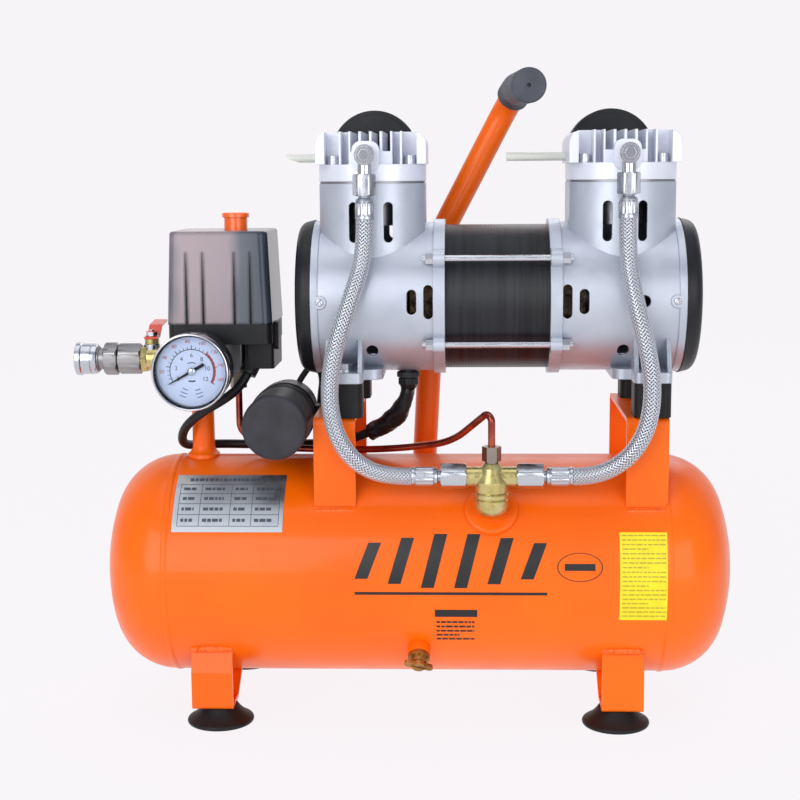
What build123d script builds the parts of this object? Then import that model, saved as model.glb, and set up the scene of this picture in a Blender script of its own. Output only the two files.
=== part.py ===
"""Twin-head oil-free air compressor on a small horizontal tank.

The layout is worked out from the middle of the tank: x runs along the tank, y to the
back, z up from the floor. The planes below place it in the part's own frame, whose
origin is on the floor, under the middle of the outline.
"""

from build123d import *
import math
import os

# ------------------------------------------------------------------ driving dimensions
FRAME_X = 10.65             # tank middle, to the right of the outline's middle
FRAME_Y = -10.65            # tank axis, in front of the outline's middle

TANK_R = 76.0
TANK_WALL = 2.2
TANK_Z = 100.5              # height of the tank axis
TANK_HALF = 217.4           # to the crown of each head
SEAM_X = 167.6
CROWN_R = 142.0
KNUCKLE_R = 42.0
HEAD_FLANGE = 20.0          # straight part of each head, beyond the seam

STRIP = 3.0                 # steel strip of legs and brackets
STRIP_W = 28.0
LEG_X = 139.0
FOOT_INSET = 3.5            # each rubber foot stands nearer the middle than its leg
FOOT_CENTRES = (FOOT_INSET - LEG_X, LEG_X - FOOT_INSET)
LEG_BASE_Z = 12.0
FRONT_FOOT_Y = -50.0
REAR_FOOT_Y = 78.0
FOOT_R = 23.0

PUMP_X = 54.7               # middle of the motor
PUMP_Z = 288.4              # shaft axis
FOOT_REACH = 102.0          # half of the 204 mm foot spacing
FOOT_XS = (PUMP_X - FOOT_REACH, PUMP_X + FOOT_REACH)
FOOT_Y = 44.5               # half of the 89 mm foot spacing
BRACKET_Z = 212.0
BRACKET_FRONT = -56.0
BRACKET_BACK = 62.0
BRACKET_XS = (-53.9, 153.7)
DAMPER = 24.5
FOOT_Z = 235.0              # underside of the pump's feet
FOOT_T = 7.0

CASE_R = 51.0
CASE_WALL = 4.0
FLANGE_IN = 34.8            # along the shaft, from the middle of the motor
FLANGE_OUT = 42.6
COVER_IN = 124.0
COVER_OUT = 134.5
COVER_R = 53.0
HEAD_REACH = 83.6
HOUSING_R = 42.0
HOUSING_HALF = 35.3
HEAD_HALF = 36.6
DECK_Z = 366.0
HEAD_TOP = 400.0

BORE_R = 27.0
SLEEVE_LENGTH = 28.0
STROKE_HALF = 6.0
SHAFT_R = 5.0
PIN_R = 12.0
FIT = 0.05                  # radial clearance of a running fit

ROD_Y = 47.5                # tie rods, from the shaft
ROD_Z = 28.5
LUG_R = 5.7

RISER_X = -151.0
LINE_Z = 245.5              # height of the outlet line and of the gauge
GAUGE_X = -145.5
GAUGE_R = 25.5
GAUGE_FRONT = -79.5
SWITCH_X = -132.6
SWITCH_HALF = 35.6
COVER_BASE_Z = 272.5
COVER_TOP_Z = 335.0
KNOB_X = -124.7

VALVE_X = 50.5
VALVE_Y = -67.0
ARM_Z = 175.0
BOSS_ANGLE = 41.0
DRAIN_X = 2.0
DRAIN_ANGLE = -35.0

CAP_X = -92.3
CAP_Z = 207.7
CAP_R = 21.7
HOSE_R = 5.9
LEAD_R = 3.2
CAP_LEAD_R = 2.2
UNLOAD_R = 2.4
GLAND_X = -6.0
GLAND_Y = -6.0

os.makedirs("parts", exist_ok=True)
pieces = []


# ------------------------------------------------------------------ planes and helpers
def at(x, y, z):
    """Point of the layout, in the part's own frame."""
    return Vector(FRAME_X + x, FRAME_Y + y, z)


def plan(z):
    """Level plane: sketch x and y are the layout's."""
    return Plane(origin=(FRAME_X, FRAME_Y, z))


def front(y):
    """Upright plane facing forward: sketch x is along the tank, sketch y is height."""
    return Plane(origin=(FRAME_X, FRAME_Y + y, 0), x_dir=(1, 0, 0), z_dir=(0, -1, 0))


def side(x):
    """Upright plane facing right: sketch x is depth, sketch y is height."""
    return Plane(origin=(FRAME_X + x, FRAME_Y, 0), x_dir=(0, 1, 0), z_dir=(1, 0, 0))


def facing(point, direction):
    """Plane through a layout point, square to a direction."""
    across = (1, 0, 0) if abs(direction[0]) < 0.9 else (0, 1, 0)
    return Plane(origin=at(*point), x_dir=across, z_dir=direction)


def keep(piece, label):
    """Name a finished piece and list it for export."""
    piece.part.label = label
    pieces.append(piece.part)


def stack(plane, stages):
    """Add round or hexagonal stages, one after the other, along a plane's normal."""
    height = 0
    for shape, across, length in stages:
        with BuildSketch(plane.offset(height)) as section:
            if shape == "hex":
                RegularPolygon(across / 2, 6, major_radius=False)
            else:
                Circle(across / 2)
        extrude(section.sketch, amount=length)
        height += length


def drill(plane, radius, depth):
    """Cut a round hole from a plane, along its normal."""
    with BuildSketch(plane) as hole:
        Circle(radius)
    extrude(hole.sketch, amount=depth, mode=Mode.SUBTRACT)


def cut_tank(radius=TANK_R + 0.05):
    """Cut the tank's outside away from the part in progress."""
    reach = SEAM_X + HEAD_FLANGE
    with BuildSketch(side(-reach)) as barrel:
        with Locations((0, TANK_Z)):
            Circle(radius)
    extrude(barrel.sketch, amount=2 * reach, mode=Mode.SUBTRACT)


def cut_radii(points):
    """Corner radii of a soft route: 0.45 of the shorter run over tan(half the turn)."""
    radii = []
    for before, corner, after in zip(points, points[1:], points[2:]):
        run_in = corner - before
        run_out = after - corner
        turn = math.radians(run_in.get_angle(run_out))
        radii.append(0.45 * min(run_in.length, run_out.length) / math.tan(turn / 2))
    return radii


def tube_along(points, radii, radius, bore=0.0):
    """Sweep a round section along straight runs joined by arcs. Returns the route."""
    with BuildLine() as route:
        FilletPolyline(*points, radius=radii)
    start = Plane(origin=points[0], z_dir=points[1] - points[0])
    with BuildSketch(start) as section:
        Circle(radius)
        if bore:
            Circle(bore, mode=Mode.SUBTRACT)
    sweep(sections=section.sketch, path=route.wires()[0])
    return route.wires()[0]


def report_route(name, points, radii, radius, piece, wire):
    """Print a soft route's length and radii, and its volume against section x length."""
    volume = math.pi * radius**2 * wire.length
    print(f"{name}: length {wire.length:.1f} mm, volume ratio {piece.part.volume / volume:.4f}")
    print("   radii", [round(r, 1) for r in radii])
    print("   runs", [round((b - a).length, 1) for a, b in zip(points, points[1:])])


# ------------------------------------------------------------------ tank
TANK_AXIS = Axis(at(0, 0, TANK_Z), (1, 0, 0))
BOSS_DIR = (0, -math.cos(math.radians(BOSS_ANGLE)), math.sin(math.radians(BOSS_ANGLE)))
DRAIN_DIR = (0, -math.cos(math.radians(DRAIN_ANGLE)), math.sin(math.radians(DRAIN_ANGLE)))


def on_tank(x, direction, height=0.0):
    """Layout point at a height above the tank's surface, in a direction from its axis."""
    reach = TANK_R + height
    return (x, direction[1] * reach, TANK_Z + direction[2] * reach)


with BuildPart() as tank_shell:
    with BuildSketch(side(-SEAM_X)):
        with Locations((0, TANK_Z)):
            Circle(TANK_R)
            Circle(TANK_R - TANK_WALL, mode=Mode.SUBTRACT)
    extrude(amount=2 * SEAM_X)
    drill(facing((RISER_X, 0, TANK_Z + 60), (0, 0, 1)), 5.0, 30)
    drill(facing(on_tank(VALVE_X, BOSS_DIR, -10), BOSS_DIR), 6.0, 20)
    drill(facing(on_tank(DRAIN_X, DRAIN_DIR, -10), DRAIN_DIR), 4.5, 20)
keep(tank_shell, "tank_shell")


def head_outline(radius, crown, knuckle):
    """Half outline of a dished head, from its crown on the axis to its straight flange."""
    centre_x = TANK_HALF - CROWN_R
    rise = radius - knuckle
    slope = math.asin(rise / (crown - knuckle))
    knuckle_x = centre_x + (crown - knuckle) * math.cos(slope)
    crown_point = (centre_x + crown, TANK_Z)
    crown_mid = (centre_x + crown * math.cos(slope / 2), TANK_Z + crown * math.sin(slope / 2))
    join = (centre_x + crown * math.cos(slope), TANK_Z + crown * math.sin(slope))
    half = (slope + math.pi / 2) / 2
    bend_mid = (knuckle_x + knuckle * math.cos(half), TANK_Z + rise + knuckle * math.sin(half))
    flange = (knuckle_x, TANK_Z + radius)
    ThreePointArc(crown_point, crown_mid, join)
    ThreePointArc(join, bend_mid, flange)
    return crown_point, flange


JOGGLE = 9.0                # length of each head that slips inside the shell
BEAD = 1.6

with BuildPart() as tank_heads:
    with BuildSketch(front(0)):
        with BuildLine():
            tip, flange = head_outline(TANK_R, CROWN_R, KNUCKLE_R)
            Polyline(
                flange,
                (SEAM_X + 0.2, TANK_Z + TANK_R),
                (SEAM_X + 0.2, TANK_Z + TANK_R - TANK_WALL - 0.1),
                (SEAM_X - JOGGLE, TANK_Z + TANK_R - TANK_WALL - 0.1),
                (SEAM_X - JOGGLE, TANK_Z + TANK_R - 2 * TANK_WALL),
                (flange[0], TANK_Z + TANK_R - 2 * TANK_WALL),
            )
            inner = CROWN_R - 2 * TANK_WALL
            tip_in, flange_in = head_outline(TANK_R - 2 * TANK_WALL, inner, KNUCKLE_R - 2 * TANK_WALL)
            Line(tip, tip_in)
        make_face()
    revolve(axis=TANK_AXIS)
    with BuildSketch(front(0)):
        with Locations((SEAM_X + 2.0, TANK_Z + TANK_R - 0.4)):
            Circle(BEAD)
    revolve(axis=TANK_AXIS)
    mirror(about=side(0))
keep(tank_heads, "tank_heads")

with BuildPart() as tank_bosses:
    with BuildSketch(facing(on_tank(VALVE_X, BOSS_DIR, -4), BOSS_DIR)):
        Circle(18.2)
    extrude(amount=6.5)
    fillet(tank_bosses.edges().filter_by(GeomType.CIRCLE).sort_by(Axis.Z)[-1], 2.2)
    with BuildSketch(facing(on_tank(VALVE_X, BOSS_DIR, -4), BOSS_DIR)):
        Circle(11.0)
    extrude(amount=8.5)
    with BuildSketch(facing(on_tank(DRAIN_X, DRAIN_DIR, -4), DRAIN_DIR)):
        Circle(7.6)
    extrude(amount=11)
    stack(facing((RISER_X, 0, 170), (0, 0, 1)), [("round", 15.6, 62)])
    with BuildSketch(front(0)):
        with BuildLine():
            Polyline((RISER_X + 7, 170), (RISER_X + 12.5, 170), (RISER_X + 11, 178.5))
            RadiusArc((RISER_X + 11, 178.5), (RISER_X + 7.8, 184), 7)
            Polyline((RISER_X + 7.8, 184), (RISER_X + 7, 184), (RISER_X + 7, 170))
        make_face()
    revolve(axis=Axis(at(RISER_X, 0, 0), (0, 0, 1)))
    cut_tank()
    drill(facing(on_tank(VALVE_X, BOSS_DIR, -4), BOSS_DIR), 7.0, 20)
    drill(facing(on_tank(DRAIN_X, DRAIN_DIR, -4), DRAIN_DIR), 4.5, 20)
    drill(facing((RISER_X, 0, 160), (0, 0, 1)), 5.0, 90)
keep(tank_bosses, "tank_bosses")


# ------------------------------------------------------------------ legs, feet, brackets
def leg_outline(sign, foot_y, spread):
    """Bent strip: down from the tank's flank, across the foot, and up to its underside."""
    base = foot_y - sign * 13
    outer = foot_y + sign * 13
    return [
        (outer - sign * (5 + spread), 56),
        (outer, 38),
        (outer, LEG_BASE_Z),
        (base, LEG_BASE_Z),
        (base - sign * (28 + spread), 30),
    ]


with BuildPart() as legs:
    for sign, foot_y, spread in ((-1, FRONT_FOOT_Y, 0), (1, REAR_FOOT_Y, 14)):
        for leg_x in (-LEG_X, LEG_X):
            with BuildSketch(side(leg_x - STRIP_W / 2)):
                with BuildLine():
                    strip = FilletPolyline(*leg_outline(sign, foot_y, spread), radius=2.5)
                    side_of = Side.LEFT if sign < 0 else Side.RIGHT
                    offset(strip, STRIP, side=side_of, kind=Kind.INTERSECTION)
                make_face()
            extrude(amount=STRIP_W)
    cut_tank()
    for foot_y in (FRONT_FOOT_Y, REAR_FOOT_Y):
        for leg_x in FOOT_CENTRES:
            drill(facing((leg_x, foot_y, 5), (0, 0, 1)), 3.3, 12)
keep(legs, "legs")

with BuildPart() as rubber_feet:
    for foot_y in (FRONT_FOOT_Y, REAR_FOOT_Y):
        for leg_x in FOOT_CENTRES:
            with BuildSketch(side(leg_x)):
                with BuildLine():
                    Polyline(
                        (foot_y + 3.3, 5),
                        (foot_y + 6.3, 5),
                        (foot_y + 6.3, 0),
                        (foot_y + FOOT_R - 1, 0),
                    )
                    RadiusArc((foot_y + FOOT_R - 1, 0), (foot_y + FOOT_R - 1, 3), -1.8)
                    RadiusArc((foot_y + FOOT_R - 1, 3), (foot_y + 12, 11.95), 26)
                    Polyline((foot_y + 12, 11.95), (foot_y + 3.3, 11.95), (foot_y + 3.3, 5))
                make_face()
            revolve(axis=Axis(at(leg_x, foot_y, 0), (0, 0, 1)))
keep(rubber_feet, "rubber_feet")

with BuildPart() as pump_brackets:
    for bracket_x in BRACKET_XS:
        with BuildSketch(side(bracket_x - STRIP_W / 2)):
            with BuildLine():
                outline = FilletPolyline(
                    (BRACKET_FRONT, 120),
                    (BRACKET_FRONT, BRACKET_Z),
                    (BRACKET_BACK, BRACKET_Z),
                    (BRACKET_BACK, 120),
                    radius=4.5,
                )
                offset(outline, STRIP, side=Side.RIGHT, kind=Kind.INTERSECTION)
            make_face()
        extrude(amount=STRIP_W)
    cut_tank()
    with BuildSketch(side(SEAM_X - 1)):
        with Locations((0, TANK_Z)):
            Circle(TANK_R + BEAD)
    extrude(amount=6, mode=Mode.SUBTRACT)
    for foot_x in FOOT_XS:
        for foot_y in (-FOOT_Y, FOOT_Y):
            drill(facing((foot_x, foot_y, BRACKET_Z - 10), (0, 0, 1)), 3.3, 20)
keep(pump_brackets, "pump_brackets")

with BuildPart() as rubber_dampers:
    for foot_x in FOOT_XS:
        for foot_y in (-FOOT_Y, FOOT_Y):
            with BuildSketch(plan(BRACKET_Z)):
                with Locations((foot_x, foot_y)):
                    RectangleRounded(DAMPER, DAMPER, 5)
                    Circle(3.3, mode=Mode.SUBTRACT)
            extrude(amount=FOOT_Z - BRACKET_Z)
keep(rubber_dampers, "rubber_dampers")

with BuildPart() as mounting_bolts:
    for foot_x in FOOT_XS:
        for foot_y in (-FOOT_Y, FOOT_Y):
            stages = [("round", 6, 41), ("round", 12, 1.2), ("hex", 10, 4.2)]
            stack(facing((foot_x, foot_y, 201), (0, 0, 1)), stages)
            with BuildSketch(plan(BRACKET_Z - STRIP - 5)):
                with Locations((foot_x, foot_y)):
                    RegularPolygon(5, 6, major_radius=False)
                    Circle(3.05, mode=Mode.SUBTRACT)
            extrude(amount=5)
    for foot_y in (FRONT_FOOT_Y, REAR_FOOT_Y):
        for leg_x in FOOT_CENTRES:
            stack(facing((leg_x, foot_y, 1.5), (0, 0, 1)), [("round", 11, 2.9), ("round", 6, 18)])
            with BuildSketch(plan(LEG_BASE_Z + STRIP)):
                with Locations((leg_x, foot_y)):
                    RegularPolygon(5, 6, major_radius=False)
                    Circle(3.05, mode=Mode.SUBTRACT)
            extrude(amount=4.5)
keep(mounting_bolts, "mounting_bolts")


# ------------------------------------------------------------------ handle
HANDLE_R = 8.8
GRIP_R = 11.4
HANDLE_Y = 62.6
handle_points = [
    at(1.4, HANDLE_Y, 130),
    at(11.7, HANDLE_Y, 320.7),
    at(69.5, HANDLE_Y, 431),
    at(74.2, -51, 427.8),
]
handle_radii = [40, 27]

GRIP_START = 0.75           # share of the handle's run where the grip begins

with BuildPart() as handle_tube:
    handle_run = tube_along(handle_points, handle_radii, HANDLE_R, HANDLE_R - 1.5)
    cut_tank()
keep(handle_tube, "handle_tube")

with BuildPart() as handle_grip:
    grip_run = handle_run.trim(GRIP_START, 1)
    with BuildSketch(Plane(origin=grip_run @ 0, z_dir=grip_run % 0)):
        Circle(GRIP_R)
        Circle(HANDLE_R + 0.02, mode=Mode.SUBTRACT)
    sweep(path=grip_run)
    with BuildSketch(Plane(origin=grip_run @ 1, z_dir=grip_run % 1)):
        Circle(GRIP_R)
    extrude(amount=4)
    fillet(handle_grip.edges().filter_by(GeomType.CIRCLE).sort_by(Axis.Y)[0], 1.8)
    drill(Plane(origin=(grip_run @ 1) + (grip_run % 1) * 10, z_dir=-(grip_run % 1)), 1.3, 8)
keep(handle_grip, "handle_grip")


# ------------------------------------------------------------------ pump castings
MOTOR_AXIS = Axis(at(0, 0, PUMP_Z), (1, 0, 0))


def on_shaft(reach):
    """Plane square to the shaft, at a distance to the right of the motor's middle."""
    plane = side(PUMP_X + reach)
    return Plane(origin=plane.origin + Vector(0, 0, PUMP_Z), x_dir=plane.x_dir, z_dir=plane.z_dir)


def drum(start, end, outer, inner=0.0, mode=Mode.ADD):
    """Round ring about the shaft, between two distances from the motor's middle."""
    with BuildSketch(on_shaft(start)) as ring:
        Circle(outer)
        if inner:
            Circle(inner, mode=Mode.SUBTRACT)
    extrude(ring.sketch, amount=end - start, mode=mode)


def housing_plan(z, centre, radius, half, bore=0.0):
    """Plan of an upright cylinder housing: a circle with two flat sides."""
    with BuildSketch(plan(z)) as outline:
        with Locations((centre, 0)):
            Circle(radius)
            Rectangle(2 * half, 2 * radius, mode=Mode.INTERSECT)
            if bore:
                Circle(bore, mode=Mode.SUBTRACT)
    return outline.sketch


def make_crankcase(sign):
    """One end of the motor: crankcase, upright cylinder housing, feet and bearing web."""
    centre = PUMP_X + sign * HEAD_REACH
    foot_x = PUMP_X + sign * FOOT_REACH
    ends = sorted((sign * FLANGE_OUT, sign * COVER_IN))
    rim = sorted((sign * FLANGE_IN, sign * FLANGE_OUT))
    web = sorted((sign * 60, sign * 68))
    with BuildPart() as case:
        drum(ends[0], ends[1], CASE_R)
        extrude(housing_plan(PUMP_Z, centre, HOUSING_R, HOUSING_HALF), amount=DECK_Z - PUMP_Z)
        drum(rim[0], rim[1], COVER_R)
        for rod_y in (-ROD_Y, ROD_Y):
            for rod_z in (-ROD_Z, ROD_Z):
                with BuildSketch(on_shaft(rim[0])) as lug:
                    with Locations((rod_y, rod_z)):
                        Circle(LUG_R)
                    with Locations((rod_y - math.copysign(5, rod_y), rod_z)):
                        Rectangle(10, 2 * LUG_R)
                extrude(lug.sketch, amount=rim[1] - rim[0])
        with BuildSketch(plan(FOOT_Z)) as foot:
            with Locations((foot_x, 0)):
                RectangleRounded(25, 114, 4)
            with Locations((foot_x - sign * 8, 0)):
                RectangleRounded(34, 74, 8)
        extrude(foot.sketch, amount=FOOT_T)
        for rib_x in (foot_x - 10.8, foot_x + 10.8):
            with BuildSketch(side(rib_x - 1.5)) as rib:
                for rib_y in (-1, 1):
                    with BuildLine():
                        Polyline(
                            (rib_y * 54, FOOT_Z + FOOT_T),
                            (rib_y * 52, FOOT_Z + FOOT_T + 4),
                            (rib_y * 44.5, 263),
                            (rib_y * 30, 263),
                            (rib_y * 30, FOOT_Z + FOOT_T),
                            close=True,
                        )
                    make_face()
            extrude(rib.sketch, amount=3)
        drum(ends[0] - 10, ends[1] + 10, CASE_R - CASE_WALL, mode=Mode.SUBTRACT)
        inside = housing_plan(PUMP_Z, centre, HOUSING_R - 3.5, HOUSING_HALF - 3.5)
        extrude(inside, amount=DECK_Z - 6 - PUMP_Z, mode=Mode.SUBTRACT)
        drill(facing((centre, 0, DECK_Z - 10), (0, 0, 1)), BORE_R + 2.05, 15)
        drum(web[0] + 2, web[1] - 2, CASE_R - CASE_WALL + 0.5, 13.05)
        drum(web[0], web[1], 17, 13.05)
        for spoke in range(6):
            angle = math.radians(60 * spoke + 30)
            hole = (PUMP_X + web[0] - 5, 31 * math.cos(angle), PUMP_Z + 31 * math.sin(angle))
            drill(facing(hole, (1, 0, 0)), 10, 18)
        for slot_x in (-11.5, 11.5):
            with BuildSketch(front(0)) as slot:
                with Locations((centre + slot_x, 340.5)):
                    SlotOverall(26.5, 6, rotation=90)
            extrude(slot.sketch, amount=60, both=True, mode=Mode.SUBTRACT)
        for reach, tall, wide in ((45.8, 22.5, 6.2), (56.8, 16.5, 6.4)):
            with BuildSketch(front(0)) as slot:
                with Locations((PUMP_X + sign * reach, PUMP_Z)):
                    SlotOverall(tall, wide, rotation=90)
            extrude(slot.sketch, amount=60, both=True, mode=Mode.SUBTRACT)
        for hole_x, hole_z in ((centre, 255.0), (centre + sign * 12.5, PUMP_Z)):
            drill(facing((hole_x, -30, hole_z), (0, -1, 0)), 4.0, 40)
            drill(facing((hole_x, 30, hole_z), (0, 1, 0)), 4.0, 40)
        for foot_y in (-FOOT_Y, FOOT_Y):
            drill(facing((foot_x, foot_y, FOOT_Z - 5), (0, 0, 1)), 3.3, 20)
        for rod_y in (-ROD_Y, ROD_Y):
            for rod_z in (-ROD_Z, ROD_Z):
                start = (PUMP_X + rim[0] - 5, rod_y, PUMP_Z + rod_z)
                drill(facing(start, (1, 0, 0)), 2.4, 20)
        if sign < 0:
            drill(facing((GLAND_X, GLAND_Y, PUMP_Z - CASE_R - 5), (0, 0, 1)), 5.0, 15)
    return case


crankcase_left = make_crankcase(-1)
keep(crankcase_left, "crankcase_left")
crankcase_right = make_crankcase(1)
keep(crankcase_right, "crankcase_right")

with BuildPart() as stator_core:
    drum(-FLANGE_IN, FLANGE_IN, 49.2, 26.8)
keep(stator_core, "stator_core")

with BuildPart() as stator_windings:
    drum(-58, -FLANGE_IN, 44, 28)
    drum(FLANGE_IN, 58, 44, 28)
keep(stator_windings, "stator_windings")

with BuildPart() as tie_rods:
    for rod_y in (-ROD_Y, ROD_Y):
        for rod_z in (-ROD_Z, ROD_Z):
            start = (PUMP_X - FLANGE_OUT - 7, rod_y, PUMP_Z + rod_z)
            end = [("round", 4.2, 2), ("hex", 7, 5)]
            stages = end + [("round", 4.2, 2 * FLANGE_OUT)] + end[::-1]
            stack(facing(start, (1, 0, 0)), stages)
keep(tie_rods, "tie_rods")

with BuildPart() as bearings:
    drum(-68, -60, 13, SHAFT_R + FIT)
    drum(60, 68, 13, SHAFT_R + FIT)
keep(bearings, "bearings")

with BuildPart() as cylinder_sleeves:
    for sign in (-1, 1):
        with BuildSketch(plan(DECK_Z - SLEEVE_LENGTH)):
            with Locations((PUMP_X + sign * HEAD_REACH, 0)):
                Circle(BORE_R + 2)
                Circle(BORE_R, mode=Mode.SUBTRACT)
        extrude(amount=SLEEVE_LENGTH)
keep(cylinder_sleeves, "cylinder_sleeves")

PLATE_T = 1.4
with BuildPart() as valve_plates:
    for sign in (-1, 1):
        centre = PUMP_X + sign * HEAD_REACH
        extrude(housing_plan(DECK_Z, centre, HOUSING_R - 0.6, HOUSING_HALF - 0.6), amount=PLATE_T)
        for port_y in (-12, 12):
            drill(facing((centre, port_y, DECK_Z - 1), (0, 0, 1)), 3.0, 5)
keep(valve_plates, "valve_plates")

HEAD_Z = DECK_Z + PLATE_T
BASE_TOP = 378.6
BAY_TOP = 393.6
SCREW_X = 25.7
SCREW_Y = 26.0
PORT_Z = 384.5


def port_x(sign):
    """Where the delivery fitting stands on a head."""
    return PUMP_X + sign * HEAD_REACH + (-3.0 if sign < 0 else 0.8)


with BuildPart() as cylinder_heads:
    for sign in (-1, 1):
        centre = PUMP_X + sign * HEAD_REACH
        extrude(housing_plan(HEAD_Z, centre, HOUSING_R, HOUSING_HALF), amount=BASE_TOP - HEAD_Z)
        with BuildSketch(front(37)):
            with BuildLine():
                FilletPolyline(
                    (centre - HEAD_HALF, BASE_TOP),
                    (centre - HEAD_HALF, HEAD_TOP),
                    (centre + HEAD_HALF, HEAD_TOP),
                    (centre + HEAD_HALF, BASE_TOP),
                    radius=9,
                )
                Line((centre + HEAD_HALF, BASE_TOP), (centre - HEAD_HALF, BASE_TOP))
            make_face()
        extrude(amount=74)
        for bay_x in (-SCREW_X, SCREW_X):
            for bay_y in (-28, 28):
                with BuildSketch(plan(BASE_TOP)) as bay:
                    with Locations((centre + bay_x, bay_y)):
                        Rectangle(9.6, 20)
                    with Locations((centre + 0.66 * bay_x, bay_y)):
                        Rectangle(5.0, 20)
                extrude(bay.sketch, amount=BAY_TOP - BASE_TOP, mode=Mode.SUBTRACT)
                pillar = (centre + bay_x, math.copysign(SCREW_Y, bay_y), 384.5)
                stack(facing(pillar, (0, 0, 1)), [("round", 7.6, 10)])
        for groove in (-10.5, -3.5, 3.5, 10.5):
            with BuildSketch(front(40)):
                with Locations((centre + groove, 394)):
                    Rectangle(5.2, 14)
            extrude(amount=80, mode=Mode.SUBTRACT)
        with BuildSketch(front(-35)):
            with Locations((port_x(sign), 383.6)):
                RectangleRounded(18, 20, 6)
        extrude(amount=9)
        drill(facing((port_x(sign), -30, PORT_Z), (0, -1, 0)), 3.6, 30)
        for screw_x in (-SCREW_X, SCREW_X):
            for screw_y in (-SCREW_Y, SCREW_Y):
                drill(facing((centre + screw_x, screw_y, HEAD_Z - 5), (0, 0, 1)), 2.2, 17)
keep(cylinder_heads, "cylinder_heads")

with BuildPart() as head_screws:
    for sign in (-1, 1):
        centre = PUMP_X + sign * HEAD_REACH
        for screw_x in (-SCREW_X, SCREW_X):
            for screw_y in (-SCREW_Y, SCREW_Y):
                start = (centre + screw_x, screw_y, DECK_Z + PLATE_T + 1)
                stages = [("round", 4, BASE_TOP - DECK_Z - PLATE_T - 1), ("round", 8, 5.8)]
                stack(facing(start, (0, 0, 1)), stages)
keep(head_screws, "head_screws")


# ------------------------------------------------------------------ turning parts
with BuildPart() as rotor_shaft:
    drum(-124, 124, SHAFT_R)
    chamfer(rotor_shaft.edges().filter_by(GeomType.CIRCLE), 0.6)
keep(rotor_shaft, "rotor_shaft")

with BuildPart() as rotor_core:
    drum(-32, 32, 26, SHAFT_R)
keep(rotor_core, "rotor_core")

with BuildPart() as eccentrics:
    for sign in (-1, 1):
        pin = sorted((sign * 79.6, sign * 87.6))
        web = sorted((sign * 88, sign * 97))
        offset_z = -sign * STROKE_HALF
        with BuildSketch(on_shaft(pin[0])):
            with Locations((0, offset_z)):
                Circle(PIN_R)
        extrude(amount=8)
        hub = sorted((sign * 87.6, sign * 97))
        drum(hub[0], hub[1], 8.5)
        with BuildSketch(on_shaft(web[0])):
            Circle(27)
            with Locations((0, -offset_z * 5)):
                Rectangle(60, 60, mode=Mode.INTERSECT)
            Circle(9)
        extrude(amount=9)
        drill(facing((PUMP_X - 130, 0, PUMP_Z), (1, 0, 0)), SHAFT_R, 260)
keep(eccentrics, "eccentrics")

CROWN_TOP = 69.6            # piston crown above the middle of its crank pin

for rod_side, sign in (("left", -1), ("right", 1)):
    centre = PUMP_X + sign * HEAD_REACH
    pin_z = PUMP_Z - sign * STROKE_HALF
    with BuildPart() as piston:
        with BuildSketch(side(centre - 3.8)):
            with Locations((0, pin_z)):
                Circle(18)
            with Locations((0, pin_z + 40)):
                Rectangle(15, 52)
            with Locations((0, pin_z)):
                Circle(PIN_R + FIT, mode=Mode.SUBTRACT)
        extrude(amount=7.6)
        stack(facing((centre, 0, pin_z + CROWN_TOP - 8), (0, 0, 1)), [("round", 34, 3), ("round", 41, 5)])
    keep(piston, f"piston_{rod_side}")

FAN_BLADES = 9
with BuildPart() as fans:
    drum(106, 108, 43, SHAFT_R)
    with BuildSketch(on_shaft(106)):
        Circle(12)
        with PolarLocations(27, FAN_BLADES):
            Rectangle(31, 2.2, rotation=18)
        Circle(SHAFT_R, mode=Mode.SUBTRACT)
    extrude(amount=16)
    mirror(about=side(PUMP_X))
keep(fans, "fans")

with BuildPart() as fan_covers:
    with BuildSketch(front(0)):
        with BuildLine():
            face_x = PUMP_X + COVER_OUT
            wall = FilletPolyline(
                (PUMP_X + COVER_IN, PUMP_Z + COVER_R),
                (face_x, PUMP_Z + COVER_R - 2.5),
                (face_x, PUMP_Z),
                radius=7,
            )
            Polyline(
                wall @ 1,
                (face_x - 2.5, PUMP_Z),
                (face_x - 2.5, PUMP_Z + COVER_R - 9),
                (PUMP_X + COVER_IN, PUMP_Z + COVER_R - 4),
                wall @ 0,
            )
        make_face()
    revolve(axis=MOTOR_AXIS)
    with BuildSketch(on_shaft(COVER_OUT)):
        for ring in range(4):
            for sector in range(6):
                arc = CenterArc((0, 0), 15 + 8 * ring, 60 * sector + 5, 50, mode=Mode.PRIVATE)
                SlotArc(arc, 3.8)
    extrude(amount=8, both=True, mode=Mode.SUBTRACT)
    mirror(about=side(PUMP_X))
keep(fan_covers, "fan_covers")


# ------------------------------------------------------------------ air filters and stubs
FILTER_Z = 385.8
with BuildPart() as air_filters:
    for sign in (-1, 1):
        centre = PUMP_X + sign * HEAD_REACH - 2
        back = facing((centre, 37.0, FILTER_Z), (0, 1, 0))
        stages = [("round", 14, 7), ("round", 56, 1.5), ("round", 62, 17), ("round", 54, 2)]
        stages += [("round", 44, 1.6), ("round", 30, 1.4)]
        stack(back, stages)
keep(air_filters, "air_filters")

with BuildPart() as breather_tubes:
    for sign, length in ((-1, 24), (1, 40)):
        edge = PUMP_X + sign * HEAD_REACH - HEAD_HALF
        start = (edge, 8, 383.2)
        stack(facing(start, (-1, 0, 0)), [("round", 5.8, length)])
        if sign < 0:
            with BuildSketch(front(20)):
                with BuildLine():
                    Polyline(
                        (edge - 25, 383.6), (edge - 14, 380), (edge - 25, 379), (edge - 25, 383.6)
                    )
                make_face()
            extrude(amount=30, mode=Mode.SUBTRACT)
        drill(facing((edge - 45, 8, 383.2), (1, 0, 0)), 2.0, 44.9)
keep(breather_tubes, "breather_tubes")


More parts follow.
